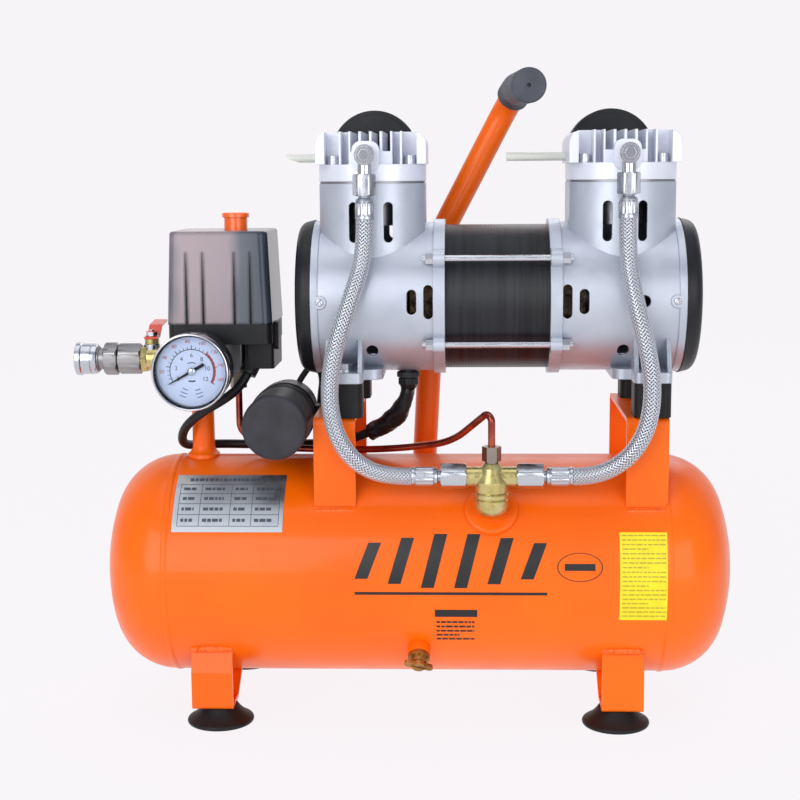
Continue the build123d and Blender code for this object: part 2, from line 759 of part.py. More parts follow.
# ------------------------------------------------------------------ delivery fittings and hoses
BANJO_Y = -44.2
HOSE_TOP_Y = -51.5
with BuildPart() as banjo_fittings:
    for sign in (-1, 1):
        banjo_x = port_x(sign)
        stack(facing((banjo_x, BANJO_Y, PORT_Z), (0, -1, 0)), [("round", 13.6, 13.6)])
        stack(facing((banjo_x, HOSE_TOP_Y, PORT_Z), (0, 0, -1)), [("round", 9.6, 12.2)])
        drill(facing((banjo_x, BANJO_Y + 5, PORT_Z), (0, -1, 0)), 3.6, 30)
        bolt = [("round", 7.1, 21.7), ("round", 11, 2.2)]
        stack(facing((banjo_x, BANJO_Y + 8, PORT_Z), (0, -1, 0)), bolt)
        stack(facing((banjo_x, BANJO_Y - 15.9, PORT_Z), (0, -1, 0)), [("hex", 6.6, 1.4)])
keep(banjo_fittings, "banjo_fittings")

NUT_TOP = 372.3
HOSE_START = 343.0
ARM_END = 16.5
hose_routes = {
    "left": [
        (-32.3, -51.5, HOSE_START),
        (-32.3, -51.5, 319),
        (-41.2, -62.5, 292.2),
        (-51.1, -69.5, 263.0),
        (-55.9, -72.3, 233.5),
        (-53.0, -72.8, 207.6),
        (-42.7, -71.5, 188.5),
        (-27.8, -68.6, 178.1),
        (-12.7, VALVE_Y, ARM_Z),
        (-2.0, VALVE_Y, ARM_Z),
    ],
    "right": [
        (139.0, -51.5, HOSE_START),
        (139.0, -51.5, 319),
        (142.6, -62.5, 292.2),
        (149.9, -69.5, 264.1),
        (154.6, -72.3, 236.1),
        (152.4, -72.8, 211.0),
        (143.2, -71.5, 191.6),
        (128.9, -68.6, 179.8),
        (114.2, VALVE_Y, ARM_Z),
        (103.5, VALVE_Y, ARM_Z),
    ],
}
for hose_side, route in hose_routes.items():
    points = [at(*point) for point in route]
    radii = cut_radii(points)
    with BuildPart() as hose:
        wire = tube_along(points, radii, HOSE_R)
    report_route(f"hose_{hose_side}", points, radii, HOSE_R, hose, wire)
    keep(hose, f"hose_{hose_side}")

with BuildPart() as hose_fittings:
    for toward, route in zip((1, -1), hose_routes.values()):
        ferrule = [("round", 12.6, 11), ("round", 11.8, 3.0), ("round", 7.6, 1.2)]
        nut = [("hex", 13.6, NUT_TOP - HOSE_START - 15.2)]
        stack(facing(route[0], (0, 0, 1)), ferrule + nut)
        reach = abs(VALVE_X - ARM_END * toward - route[-1][0])
        ferrule = [("round", 12.6, 13), ("round", 11.2, 3.5), ("round", 7.6, 2.5)]
        nut = [("hex", 15.6, reach - 19)]
        stack(facing(route[-1], (toward, 0, 0)), ferrule + nut)
keep(hose_fittings, "hose_fittings")


# ------------------------------------------------------------------ check valve and unloader tube
with BuildPart() as check_valve_body:
    with BuildSketch(front(VALVE_Y)):
        with BuildLine():
            Polyline((VALVE_X, 149), (VALVE_X + 5, 149))
            RadiusArc((VALVE_X + 5, 149), (VALVE_X + 11, 156), -7)
            Polyline(
                (VALVE_X + 11, 156),
                (VALVE_X + 11, 159.5),
                (VALVE_X + 10, 160.3),
                (VALVE_X + 11, 161.1),
                (VALVE_X + 11, 163.6),
                (VALVE_X + 10, 164.4),
                (VALVE_X + 11, 165.2),
                (VALVE_X + 11, 172),
                (VALVE_X + 7, 181),
                (VALVE_X + 5, 184),
                (VALVE_X, 184),
                (VALVE_X, 149),
            )
        make_face()
    revolve(axis=Axis(at(VALVE_X, VALVE_Y, 0), (0, 0, 1)))
    stack(facing((VALVE_X - ARM_END, VALVE_Y, ARM_Z), (1, 0, 0)), [("round", 13, 2 * ARM_END)])
    neck = on_tank(VALVE_X, BOSS_DIR, 4.5)
    stack(facing(neck, BOSS_DIR), [("round", 15, 9)])
    drill(facing(on_tank(VALVE_X, BOSS_DIR, -6), BOSS_DIR), 12.5, 10.5)
    with BuildSketch(front(VALVE_Y)) as chamber:
        with BuildLine():
            Polyline(
                (VALVE_X, 154),
                (VALVE_X + 7, 154),
                (VALVE_X + 7, 168),
                (VALVE_X + 4, 171),
                (VALVE_X + 2, 171),
                (VALVE_X + 2, 184.2),
                (VALVE_X, 184.2),
                (VALVE_X, 154),
            )
        make_face()
    revolve(chamber.sketch, axis=Axis(at(VALVE_X, VALVE_Y, 0), (0, 0, 1)), mode=Mode.SUBTRACT)
    drill(facing((VALVE_X - ARM_END - 1, VALVE_Y, ARM_Z), (1, 0, 0)), 3.5, 2 * ARM_END + 2)
    drill(facing(on_tank(VALVE_X, BOSS_DIR, 2), BOSS_DIR), 4.0, 12)
keep(check_valve_body, "check_valve_body")

with BuildPart() as check_poppet:
    stages = [("round", 8, 6), ("round", 12.4, 3), ("round", 6, 2)]
    stack(facing((VALVE_X, VALVE_Y, 155.8), (0, 0, 1)), stages)
keep(check_poppet, "check_poppet")

unload_points = [
    at(VALVE_X, VALVE_Y, 188),
    at(VALVE_X, VALVE_Y, 219.5),
    at(24, -37, 192.5),
    at(-22, -5, 181.4),
    at(-70, 0, 181.0),
    at(-112, 0, 182.5),
    at(-125.3, 0, 196),
    at(-125.3, 0, 228),
]
with BuildPart() as unload_tube:
    tube_along(unload_points, [4.6, 70, 100, 150, 14, 11], UNLOAD_R)
keep(unload_tube, "unload_tube")

with BuildPart() as unload_nuts:
    stack(facing((VALVE_X, VALVE_Y, 184.1), (0, 0, 1)), [("round", 9, 1.4), ("hex", 11, 9.6)])
    drill(facing((VALVE_X, VALVE_Y, 180), (0, 0, 1)), UNLOAD_R + FIT, 30)
    stack(facing((-125.3, 0, 225), (0, 0, 1)), [("hex", 10, 11.4)])
    drill(facing((-125.3, 0, 220), (0, 0, 1)), UNLOAD_R + FIT, 40)
keep(unload_nuts, "unload_nuts")


# ------------------------------------------------------------------ drain valve
drain_start = on_tank(DRAIN_X, DRAIN_DIR, 4.0)
with BuildPart() as drain_body:
    plane = facing(drain_start, DRAIN_DIR)
    stack(plane.offset(-4), [("round", 8.8, 7), ("round", 14.6, 3), ("round", 10.4, 3.2)])
    drill(plane.offset(-6), 2.6, 30)
keep(drain_body, "drain_body")

with BuildPart() as drain_key:
    stack(plane.offset(3), [("round", 5.1, 6.4), ("round", 8.6, 3.4)])
    with BuildSketch(plane.offset(9.7)):
        SlotOverall(19.5, 4.6, rotation=-18)
    extrude(amount=2.4)
    with BuildSketch(plane.offset(12.8)):
        Rectangle(10, 1.4, rotation=-18)
    extrude(amount=-1.0, mode=Mode.SUBTRACT)
keep(drain_key, "drain_key")


# ------------------------------------------------------------------ motor lead and capacitor
GLAND_TOP = PUMP_Z - CASE_R - 0.1
GLAND_END = GLAND_TOP - 11.5
BOOT_R = 7.0
boot_points = [
    at(GLAND_X, GLAND_Y, GLAND_END),
    at(-9, -3.5, 212.5),
    at(-19.5, 5.5, 198.5),
    at(-34, 13.5, 191),
]
boot_dir = (boot_points[3] - boot_points[2]).normalized()
across = Vector(boot_dir.Y, -boot_dir.X, 0).normalized()
lead_end = boot_points[3] - across * 3.3
cap_lead_end = boot_points[3] + across * 3.9

with BuildPart() as motor_gland:
    stack(facing((GLAND_X, GLAND_Y, GLAND_TOP), (0, 0, 1)), [("round", 9.9, 6)])
    stages = [("hex", 14, 8.5), ("round", 12, 3)]
    stack(facing((GLAND_X, GLAND_Y, GLAND_TOP), (0, 0, -1)), stages)
    tube_along(boot_points, [24, 38], BOOT_R)
keep(motor_gland, "motor_gland")

SWITCH_GLAND = (-112, -13, 246)
SWITCH_GLAND_DIR = Vector(-0.42, -0.34, -0.84).normalized()
SWITCH_GLAND_LENGTH = 11.0
lead_start = at(*SWITCH_GLAND) + SWITCH_GLAND_DIR * SWITCH_GLAND_LENGTH
lead_points = [
    lead_start,
    lead_start + SWITCH_GLAND_DIR * 10,
    at(-132.5, -24, 219.5),
    at(-148, -23, 211),
    at(-161.5, -14, 199.5),
    at(-166.5, -2.5, 188.5),
    at(-165.5, 9, 182.4),
    at(-158, 20.5, 180.6),
    at(-143, 26, 180.3),
    at(-118, 25.2, 180),
    at(-92, 22.5, 180.6),
    at(-67, 21.5, 181.3),
    lead_end + boot_dir * 16,
    lead_end,
]
with BuildPart() as motor_lead:
    lead_radii = cut_radii(lead_points)
    lead_run = tube_along(lead_points, lead_radii, LEAD_R)
report_route("motor_lead", lead_points, lead_radii, LEAD_R, motor_lead, lead_run)
keep(motor_lead, "motor_lead")

SPOUT = (CAP_X + 1, 22, CAP_Z + 8)
SPOUT_DIR = Vector(0.5, 0.2, 0.84).normalized()
SPOUT_LENGTH = 11.0
with BuildPart() as capacitor:
    stages = [("round", 2 * CAP_R, 46), ("round", 2 * CAP_R - 3, 44), ("round", 30, 2)]
    stack(facing((CAP_X, -70, CAP_Z), (0, 1, 0)), stages)
    fillet(capacitor.edges().filter_by(GeomType.CIRCLE).sort_by(Axis.Y)[0], 3)
    stack(facing(SPOUT, tuple(SPOUT_DIR)), [("round", 8, SPOUT_LENGTH)])
keep(capacitor, "capacitor")

cap_lead_start = at(*SPOUT) + SPOUT_DIR * SPOUT_LENGTH
cap_lead_points = [
    cap_lead_start,
    cap_lead_start + SPOUT_DIR * 7,
    at(-77.6, 27.2, 236.6),
    at(-71.2, 28.2, 234.6),
    at(-69.2, 29, 226.5),
    at(-70.7, 30.2, 216.5),
    at(-71.8, 31, 206.5),
    at(-70.2, 31.8, 196.5),
    at(-62.5, 31.2, 189),
    at(-51.5, 28.6, 186.2),
    cap_lead_end + boot_dir * 10,
    cap_lead_end,
]
with BuildPart() as capacitor_lead:
    cap_radii = cut_radii(cap_lead_points)
    cap_run = tube_along(cap_lead_points, cap_radii, CAP_LEAD_R)
report_route("capacitor_lead", cap_lead_points, cap_radii, CAP_LEAD_R, capacitor_lead, cap_run)
keep(capacitor_lead, "capacitor_lead")

CLAMP_Y = -8.0
with BuildPart() as capacitor_clamp:
    with BuildSketch(front(CLAMP_Y)):
        with Locations((CAP_X, CAP_Z)):
            Circle(CAP_R)
        with Locations((CAP_X + 20.9, CAP_Z + 1)):
            Rectangle(7, 9)
        with Locations((CAP_X, CAP_Z)):
            Circle(CAP_R - 1.45, mode=Mode.SUBTRACT)
    extrude(amount=-12)
keep(capacitor_clamp, "capacitor_clamp")


# ------------------------------------------------------------------ pressure switch
KNOB_R = 8.0
with BuildPart() as switch_cover:
    with BuildSketch(plan(COVER_BASE_Z)):
        with Locations((SWITCH_X, 0)):
            RectangleRounded(2 * SWITCH_HALF, 70, 6)
    with BuildSketch(plan(COVER_TOP_Z)):
        with Locations((SWITCH_X, 0)):
            RectangleRounded(2 * SWITCH_HALF - 5, 66, 6)
    loft()
    fillet(switch_cover.faces().sort_by(Axis.Z)[-1].edges(), 2.2)
    with BuildSketch(plan(COVER_BASE_Z)):
        with Locations((SWITCH_X, 0)):
            RectangleRounded(2 * SWITCH_HALF - 5, 65, 4)
    with BuildSketch(plan(COVER_TOP_Z - 2.5)):
        with Locations((SWITCH_X, 0)):
            RectangleRounded(2 * SWITCH_HALF - 9.6, 61.4, 4)
    loft(mode=Mode.SUBTRACT)
    for groove in (-21.5, -10.2, 11.0, 21.8):
        with BuildSketch(front(-33.0)):
            with Locations((SWITCH_X + groove, 296)):
                SlotOverall(50, 1.1, rotation=90)
        extrude(amount=5, mode=Mode.SUBTRACT)
    drill(facing((KNOB_X, 0, COVER_TOP_Z - 6), (0, 0, 1)), KNOB_R + 0.5, 10)
keep(switch_cover, "switch_cover")

with BuildPart() as switch_base:
    with BuildSketch(plan(259)):
        with Locations((SWITCH_X, 0)):
            RectangleRounded(2 * SWITCH_HALF - 1, 68, 6)
    extrude(amount=COVER_BASE_Z - 259)
    with BuildSketch(plan(241)):
        with Locations((-107.5, 2)):
            RectangleRounded(20, 50, 3)
    extrude(amount=19)
    with BuildSketch(plan(264)):
        with Locations((SWITCH_X, 0)):
            RectangleRounded(2 * SWITCH_HALF - 6, 63, 4)
    extrude(amount=10, mode=Mode.SUBTRACT)
    with BuildSketch(side(SWITCH_X + SWITCH_HALF - 0.5)):
        with Locations((-8, 263)):
            RectangleRounded(14, 19, 2)
    extrude(amount=2.6)
    stack(facing(SWITCH_GLAND, tuple(SWITCH_GLAND_DIR)), [("round", 12, SWITCH_GLAND_LENGTH)])
keep(switch_base, "switch_base")

with BuildPart() as switch_mechanism:
    with BuildSketch(plan(264)):
        with Locations((SWITCH_X, 0)):
            RectangleRounded(52, 50, 3)
    extrude(amount=3)
    for post_y in (-16, 16):
        with BuildSketch(plan(267)):
            with Locations((SWITCH_X - 12, post_y)):
                Rectangle(22, 12)
        extrude(amount=20)
    stack(facing((SWITCH_X + 16, 0, 267), (0, 0, 1)), [("round", 13, 26)])
    with BuildSketch(front(4)):
        with Locations((SWITCH_X - 3, 291)):
            Rectangle(44, 3)
    extrude(amount=-8, both=True)
keep(switch_mechanism, "switch_mechanism")

with BuildPart() as switch_knob:
    stages = [("round", 2 * KNOB_R - 4, 12), ("round", 2 * KNOB_R, 18), ("round", 18.6, 3.2)]
    stack(facing((KNOB_X, 0, COVER_TOP_Z - 21.5), (0, 0, 1)), stages)
    fillet(switch_knob.edges().filter_by(GeomType.CIRCLE).sort_by(Axis.Z)[-1], 0.8)
keep(switch_knob, "switch_knob")

with BuildPart() as switch_manifold:
    with BuildSketch(plan(232)):
        with Locations((-149, -2)):
            RectangleRounded(34, 30, 4)
    extrude(amount=27)
    with BuildSketch(plan(236.5)):
        with Locations((-127.5, 2)):
            RectangleRounded(15, 14, 3)
    extrude(amount=22.5)
    stack(facing((-165, 0, LINE_Z), (-1, 0, 0)), [("round", 16, 6)])
    drill(facing((RISER_X, 0, 231), (0, 0, 1)), 4.5, 20)
    drill(facing((-125.3, 0, 230), (0, 0, 1)), UNLOAD_R + FIT, 12)
    drill(facing((-175, 0, LINE_Z), (1, 0, 0)), 4.5, 25)
    drill(facing((GAUGE_X, -20, LINE_Z), (0, 1, 0)), 2.5, 15)
keep(switch_manifold, "switch_manifold")


# ------------------------------------------------------------------ pressure gauge
def gauge_ring(start_y, depth, radius, bore=0.0):
    """Round layer of the gauge, from a depth towards its face."""
    with BuildSketch(front(start_y)) as layer:
        with Locations((GAUGE_X, LINE_Z)):
            Circle(radius)
            if bore:
                Circle(bore, mode=Mode.SUBTRACT)
    extrude(layer.sketch, amount=depth)


CASE_BACK = -49.0
with BuildPart() as gauge_case:
    gauge_ring(CASE_BACK, 2, GAUGE_R - 1.0)
    gauge_ring(CASE_BACK - 2, 22.5, GAUGE_R - 1.0, GAUGE_R - 2.6)
    gauge_ring(CASE_BACK + 4, 4, 7)
    stack(facing((GAUGE_X, CASE_BACK + 4, LINE_Z), (0, 1, 0)), [("hex", 12, 14), ("round", 9.6, 14.0)])
keep(gauge_case, "gauge_case")

with BuildPart() as gauge_bezel:
    gauge_ring(CASE_BACK - 24.5, 5.2, GAUGE_R, GAUGE_R - 3.4)
    gauge_ring(GAUGE_FRONT + 0.8, 0.8, GAUGE_R - 1.0, GAUGE_R - 3.4)
    gauge_ring(CASE_BACK - 18.0, 6.5, GAUGE_R, GAUGE_R - 0.95)
keep(gauge_bezel, "gauge_bezel")

with BuildPart() as gauge_dial:
    gauge_ring(CASE_BACK - 19.5, 0.8, GAUGE_R - 2.7, 1.2)
keep(gauge_dial, "gauge_dial")

with BuildPart() as gauge_lens:
    gauge_ring(CASE_BACK - 24.6, 1.6, GAUGE_R - 3.5)
keep(gauge_lens, "gauge_lens")

NEEDLE_ANGLE = 209.4        # at zero pressure
NEEDLE_HALF = [(-9.5, 1.1), (0, 1.0), (17.5, 0.25)]
with BuildPart() as gauge_needle:
    with BuildSketch(front(CASE_BACK - 21.2)):
        with Locations((GAUGE_X, LINE_Z)):
            Circle(1.9)
            mirrored = [(x, -y) for x, y in reversed(NEEDLE_HALF)]
            Polygon(*NEEDLE_HALF, *mirrored, rotation=NEEDLE_ANGLE, align=None)
    extrude(amount=0.7)
    gauge_ring(CASE_BACK - 19.0, 2.4, 1.0)
keep(gauge_needle, "gauge_needle")


# ------------------------------------------------------------------ outlet valve and coupler
BALL_X = -185.6
with BuildPart() as outlet_valve_body:
    stages = [("round", 9, 6), ("hex", 15, 5), ("round", 17.0, 12), ("hex", 17, 4.2)]
    stack(facing((-165.5, 0, LINE_Z), (-1, 0, 0)), stages)
    stack(facing((BALL_X, 0, LINE_Z + 4), (0, 0, 1)), [("round", 10, 10)])
    drill(facing((-164, 0, LINE_Z), (-1, 0, 0)), 3.2, 40)
    with BuildSketch(side(BALL_X - 5.6)):
        with Locations((0, LINE_Z)):
            Circle(5.6)
    extrude(amount=11.2, mode=Mode.SUBTRACT)
    drill(facing((BALL_X, 0, LINE_Z), (0, 0, 1)), 2.55, 20)
keep(outlet_valve_body, "outlet_valve_body")

with BuildPart() as valve_lever:
    with BuildSketch(front(0)):
        with BuildLine():
            CenterArc((BALL_X, LINE_Z), 5.3, -90, 180)
            Line((BALL_X, LINE_Z + 5.3), (BALL_X, LINE_Z - 5.3))
        make_face()
    revolve(axis=Axis(at(BALL_X, 0, LINE_Z), (0, 0, 1)))
    drill(facing((BALL_X, -10, LINE_Z), (0, 1, 0)), 3.0, 20)
    stack(facing((BALL_X, 0, LINE_Z + 5), (0, 0, 1)), [("round", 5, 10), ("round", 3.8, 3.6)])
    with BuildSketch(side(BALL_X - 4.5)):
        with BuildLine():
            bent = FilletPolyline((-5, 259.8), (7, 259.8), (15, 266.5), (34, 268.5), radius=2.5)
            offset(bent, 1.5, side=Side.LEFT, kind=Kind.INTERSECTION)
        make_face()
    extrude(amount=9)
    stack(facing((BALL_X, 0, 261.3), (0, 0, 1)), [("hex", 7, 3.4), ("round", 4, 1.2)])
keep(valve_lever, "valve_lever")

with BuildPart() as outlet_adapter:
    stack(facing((-192.75, 0, LINE_Z), (-1, 0, 0)), [("hex", 19, 16.6), ("round", 12.5, 3)])
    chamfer(outlet_adapter.faces().sort_by(Axis.X)[-1].edges(), 0.8)
    drill(facing((-190, 0, LINE_Z), (-1, 0, 0)), 3.5, 40)
keep(outlet_adapter, "outlet_adapter")

SOCKET_R = 6.0
COUPLER_TIP = -238.75
with BuildPart() as coupler_body:
    stack(facing((-209.4, 0, LINE_Z), (-1, 0, 0)), [("hex", 20.6, 8.2), ("round", 15, 20.6)])
    stack(facing((-221.2, 0, LINE_Z), (-1, 0, 0)), [("round", 17.6, 1.4)])
    drill(facing((COUPLER_TIP - 2, 0, LINE_Z), (1, 0, 0)), SOCKET_R, 20)
    drill(facing((-205, 0, LINE_Z), (-1, 0, 0)), 3.5, 40)
    drill(facing((-205, 0, LINE_Z), (-1, 0, 0)), 6.4, 9)
keep(coupler_body, "coupler_body")

with BuildPart() as coupler_sleeve:
    stages = [("round", 23.4, 6.6), ("round", 21.0, 1.0), ("round", 22.2, 5.8), ("round", 20.6, 1.8)]
    stack(facing((COUPLER_TIP, 0, LINE_Z), (1, 0, 0)), stages)
    drill(facing((COUPLER_TIP - 1, 0, LINE_Z), (1, 0, 0)), 7.55, 20)
    drill(facing((COUPLER_TIP + 8, 0, LINE_Z), (1, 0, 0)), 9.0, 10)
keep(coupler_sleeve, "coupler_sleeve")

with BuildPart() as coupler_spring:
    with BuildSketch(facing((-222.65, 0, LINE_Z), (-1, 0, 0))):
        Circle(8.7)
        Circle(7.8, mode=Mode.SUBTRACT)
    extrude(amount=3.9)
keep(coupler_spring, "coupler_spring")


for piece in pieces:
    export_step(piece, f"parts/{piece.label}.step")
print(len(pieces), "nodes")
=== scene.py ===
"""Looks of the portable air compressor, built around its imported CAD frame.

Places are in the layout of the CAD source, in millimetres: x along the tank from its
middle, y to the back from the tank's axis, z up from the floor. mm() turns them into the
frame's metres.
"""

import math
import random

import bmesh
import bpy
from mathutils import Euler, Matrix, Vector


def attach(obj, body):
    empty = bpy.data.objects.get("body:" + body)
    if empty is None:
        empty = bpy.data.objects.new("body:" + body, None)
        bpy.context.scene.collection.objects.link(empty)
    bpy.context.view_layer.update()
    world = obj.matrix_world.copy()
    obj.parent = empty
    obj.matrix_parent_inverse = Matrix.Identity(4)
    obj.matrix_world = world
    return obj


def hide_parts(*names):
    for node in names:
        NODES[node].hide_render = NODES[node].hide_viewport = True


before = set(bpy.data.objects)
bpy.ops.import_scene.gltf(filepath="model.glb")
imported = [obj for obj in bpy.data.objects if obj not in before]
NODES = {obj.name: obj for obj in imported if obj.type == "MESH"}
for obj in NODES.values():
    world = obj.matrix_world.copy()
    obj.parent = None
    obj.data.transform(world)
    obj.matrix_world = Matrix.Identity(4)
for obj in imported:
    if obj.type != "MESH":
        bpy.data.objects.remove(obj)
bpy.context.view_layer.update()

# ------------------------------------------------------------------ layout
FRAME_X = 10.65
FRAME_Y = -10.65
TANK_R = 76.0
TANK_Z = 100.5
PUMP_X = 54.7
PUMP_Z = 288.4
VALVE_X = 50.5
VALVE_Y = -67.0
ARM_Z = 175.0
GAUGE_X = -145.5
LINE_Z = 245.5
CAP_X = -92.3
CAP_Z = 207.7
BALL_X = -185.6
COUPLER_TIP = -238.75
COVER_LEFT = (-132.6 - 35.6 + FRAME_X) / 1000
COVER_RIGHT = (-132.6 + 35.6 + FRAME_X) / 1000


def mm(x, y, z):
    """Layout millimetres to a point of the frame, in metres."""
    return Vector(((x + FRAME_X) / 1000, (y + FRAME_Y) / 1000, z / 1000))


# ------------------------------------------------------------------ camera
def make_camera():
    data = bpy.data.cameras.new("camera")
    data.lens = 67.5
    data.sensor_width = 36
    camera = bpy.data.objects.new("camera", data)
    bpy.context.scene.collection.objects.link(camera)
    camera.location = mm(32.1, -1036.2, 371.4)
    aim = Euler((math.radians(90 - 8.53), 0, math.radians(2.45))).to_matrix()
    camera.rotation_euler = (aim @ Matrix.Rotation(math.radians(-0.45), 3, "Z")).to_euler()
    bpy.context.scene.camera = camera


make_camera()


# ------------------------------------------------------------------ mesh helpers
def new_object(name, mesh, materials=(), body="frame"):
    """Link a mesh as a piece that rides on a body."""
    piece = bpy.data.objects.new(name, mesh)
    bpy.context.scene.collection.objects.link(piece)
    for item in materials:
        mesh.materials.append(item)
    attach(piece, body)
    return piece


def smooth(mesh, angle=32):
    """Shade smooth, with edges sharper than an angle left hard."""
    for polygon in mesh.polygons:
        polygon.use_smooth = True
    mesh.set_sharp_from_angle(angle=math.radians(angle))


def mesh_from(name, rings, smooth_angle=32, loop=False):
    """Mesh from closed rings of one count. A loop's last ring joins its first."""
    mesh = bpy.data.meshes.new(name)
    count = len(rings[0])
    vertices = [tuple(p) for ring in rings for p in ring]
    faces = []
    for r in range(len(rings) if loop else len(rings) - 1):
        following = (r + 1) % len(rings) * count
        for k in range(count):
            after = (k + 1) % count
            faces.append((r * count + k, r * count + after, following + after, following + k))
    if not loop:
        faces.append(tuple(reversed(range(count))))
        last = (len(rings) - 1) * count
        faces.append(tuple(range(last, last + count)))
    mesh.from_pydata(vertices, [], faces)
    mesh.validate()
    smooth(mesh, smooth_angle)
    return mesh


def axes_of(direction):
    """Two unit vectors square to a direction."""
    direction = Vector(direction).normalized()
    seed = Vector((0, 0, 1)) if abs(direction.z) < 0.9 else Vector((1, 0, 0))
    u = direction.cross(seed).normalized()
    return u, direction.cross(u).normalized()


def hex_radius(angle, half):
    """Radius of a hexagon of a half width across flats, at an angle."""
    local = (angle + math.pi / 6) % (math.pi / 3) - math.pi / 6
    return half / math.cos(local)


def turned(name, origin, direction, profile, material, body="frame", steps=72, turn=0.0):
    """Piece turned about an axis. profile rows: (shape, along, radius[, corner limit or flute depth])."""
    direction = Vector(direction).normalized()
    u, v = axes_of(direction)
    loop = profile[0] == profile[-1]
    rings = []
    for shape, along, radius, *extra in profile[:-1] if loop else profile:
        ring = []
        for k in range(steps):
            angle = 2 * math.pi * k / steps + turn
            r = radius
            if shape == "hex":
                r = min(hex_radius(angle, radius), extra[0])
            elif shape == "flute":
                r = radius - extra[0] * (0.5 + 0.5 * math.cos(12 * angle)) ** 2
            centre = Vector(origin) + direction * along / 1000
            ring.append(centre + (u * math.cos(angle) + v * math.sin(angle)) * r / 1000)
        rings.append(ring)
    return new_object(name, mesh_from(name, rings, loop=loop), [material], body)


def curve_line(points):
    """Points along the smooth line of a NURBS route."""
    data = bpy.data.curves.new("route", "CURVE")
    data.dimensions = "3D"
    data.resolution_u = 16
    add_route(data, points)
    holder = bpy.data.objects.new("route", data)
    bpy.context.scene.collection.objects.link(holder)
    bpy.context.view_layer.update()
    evaluated = holder.evaluated_get(bpy.context.evaluated_depsgraph_get())
    mesh = bpy.data.meshes.new_from_object(evaluated)
    line = [v.co.copy() for v in mesh.vertices]
    bpy.data.objects.remove(holder)
    bpy.data.meshes.remove(mesh)
    return line


def add_route(data, points):
    """Add a route's points to a curve as an open NURBS spline."""
    spline = data.splines.new("NURBS")
    spline.points.add(len(points) - 1)
    for target, point in zip(spline.points, points):
        target.co = (*point, 1)
    spline.order_u = 3
    spline.use_endpoint_u = True


def even_steps(line, step):
    """Resample a line at an even spacing, in metres."""
    lengths = [0.0]
    for a, b in zip(line, line[1:]):
        lengths.append(lengths[-1] + (b - a).length)
    count = max(2, round(lengths[-1] / step))
    out = []
    segment = 0
    for k in range(count + 1):
        target = lengths[-1] * k / count
        while segment < len(line) - 2 and lengths[segment + 1] < target:
            segment += 1
        span = max(lengths[segment + 1] - lengths[segment], 1e-12)
        share = (target - lengths[segment]) / span
        out.append(line[segment].lerp(line[segment + 1], share))
    return out


def frames_along(line):
    """Tangent and two side vectors at each point, turning as little as possible."""
    tangents = []
    for k in range(len(line)):
        before = line[max(k - 1, 0)]
        after = line[min(k + 1, len(line) - 1)]
        tangents.append((after - before).normalized())
    side = axes_of(tangents[0])[0]
    out = []
    for tangent in tangents:
        side = (side - tangent * side.dot(tangent)).normalized()
        out.append((tangent, side, tangent.cross(side)))
    return out


def tube_rings(line, radius_at, steps):
    """Rings of a tube round a line. radius_at(share, angle) is in metres."""
    rings = []
    for k, (point, (_, side, up)) in enumerate(zip(line, frames_along(line))):
        share = k / (len(line) - 1)
        ring = []
        for j in range(steps):
            angle = 2 * math.pi * j / steps
            r = radius_at(share, angle)
            ring.append(point + (side * math.cos(angle) + up * math.sin(angle)) * r)
        rings.append(ring)
    return rings


# ------------------------------------------------------------------ materials
def linear(red, green, blue):
    """Screen colour, 0 to 255, to the linear colour that shaders take."""
    out = []
    for value in (red, green, blue):
        c = value / 255
        out.append(c / 12.92 if c <= 0.04045 else ((c + 0.055) / 1.055) ** 2.4)
    return (*out, 1.0)


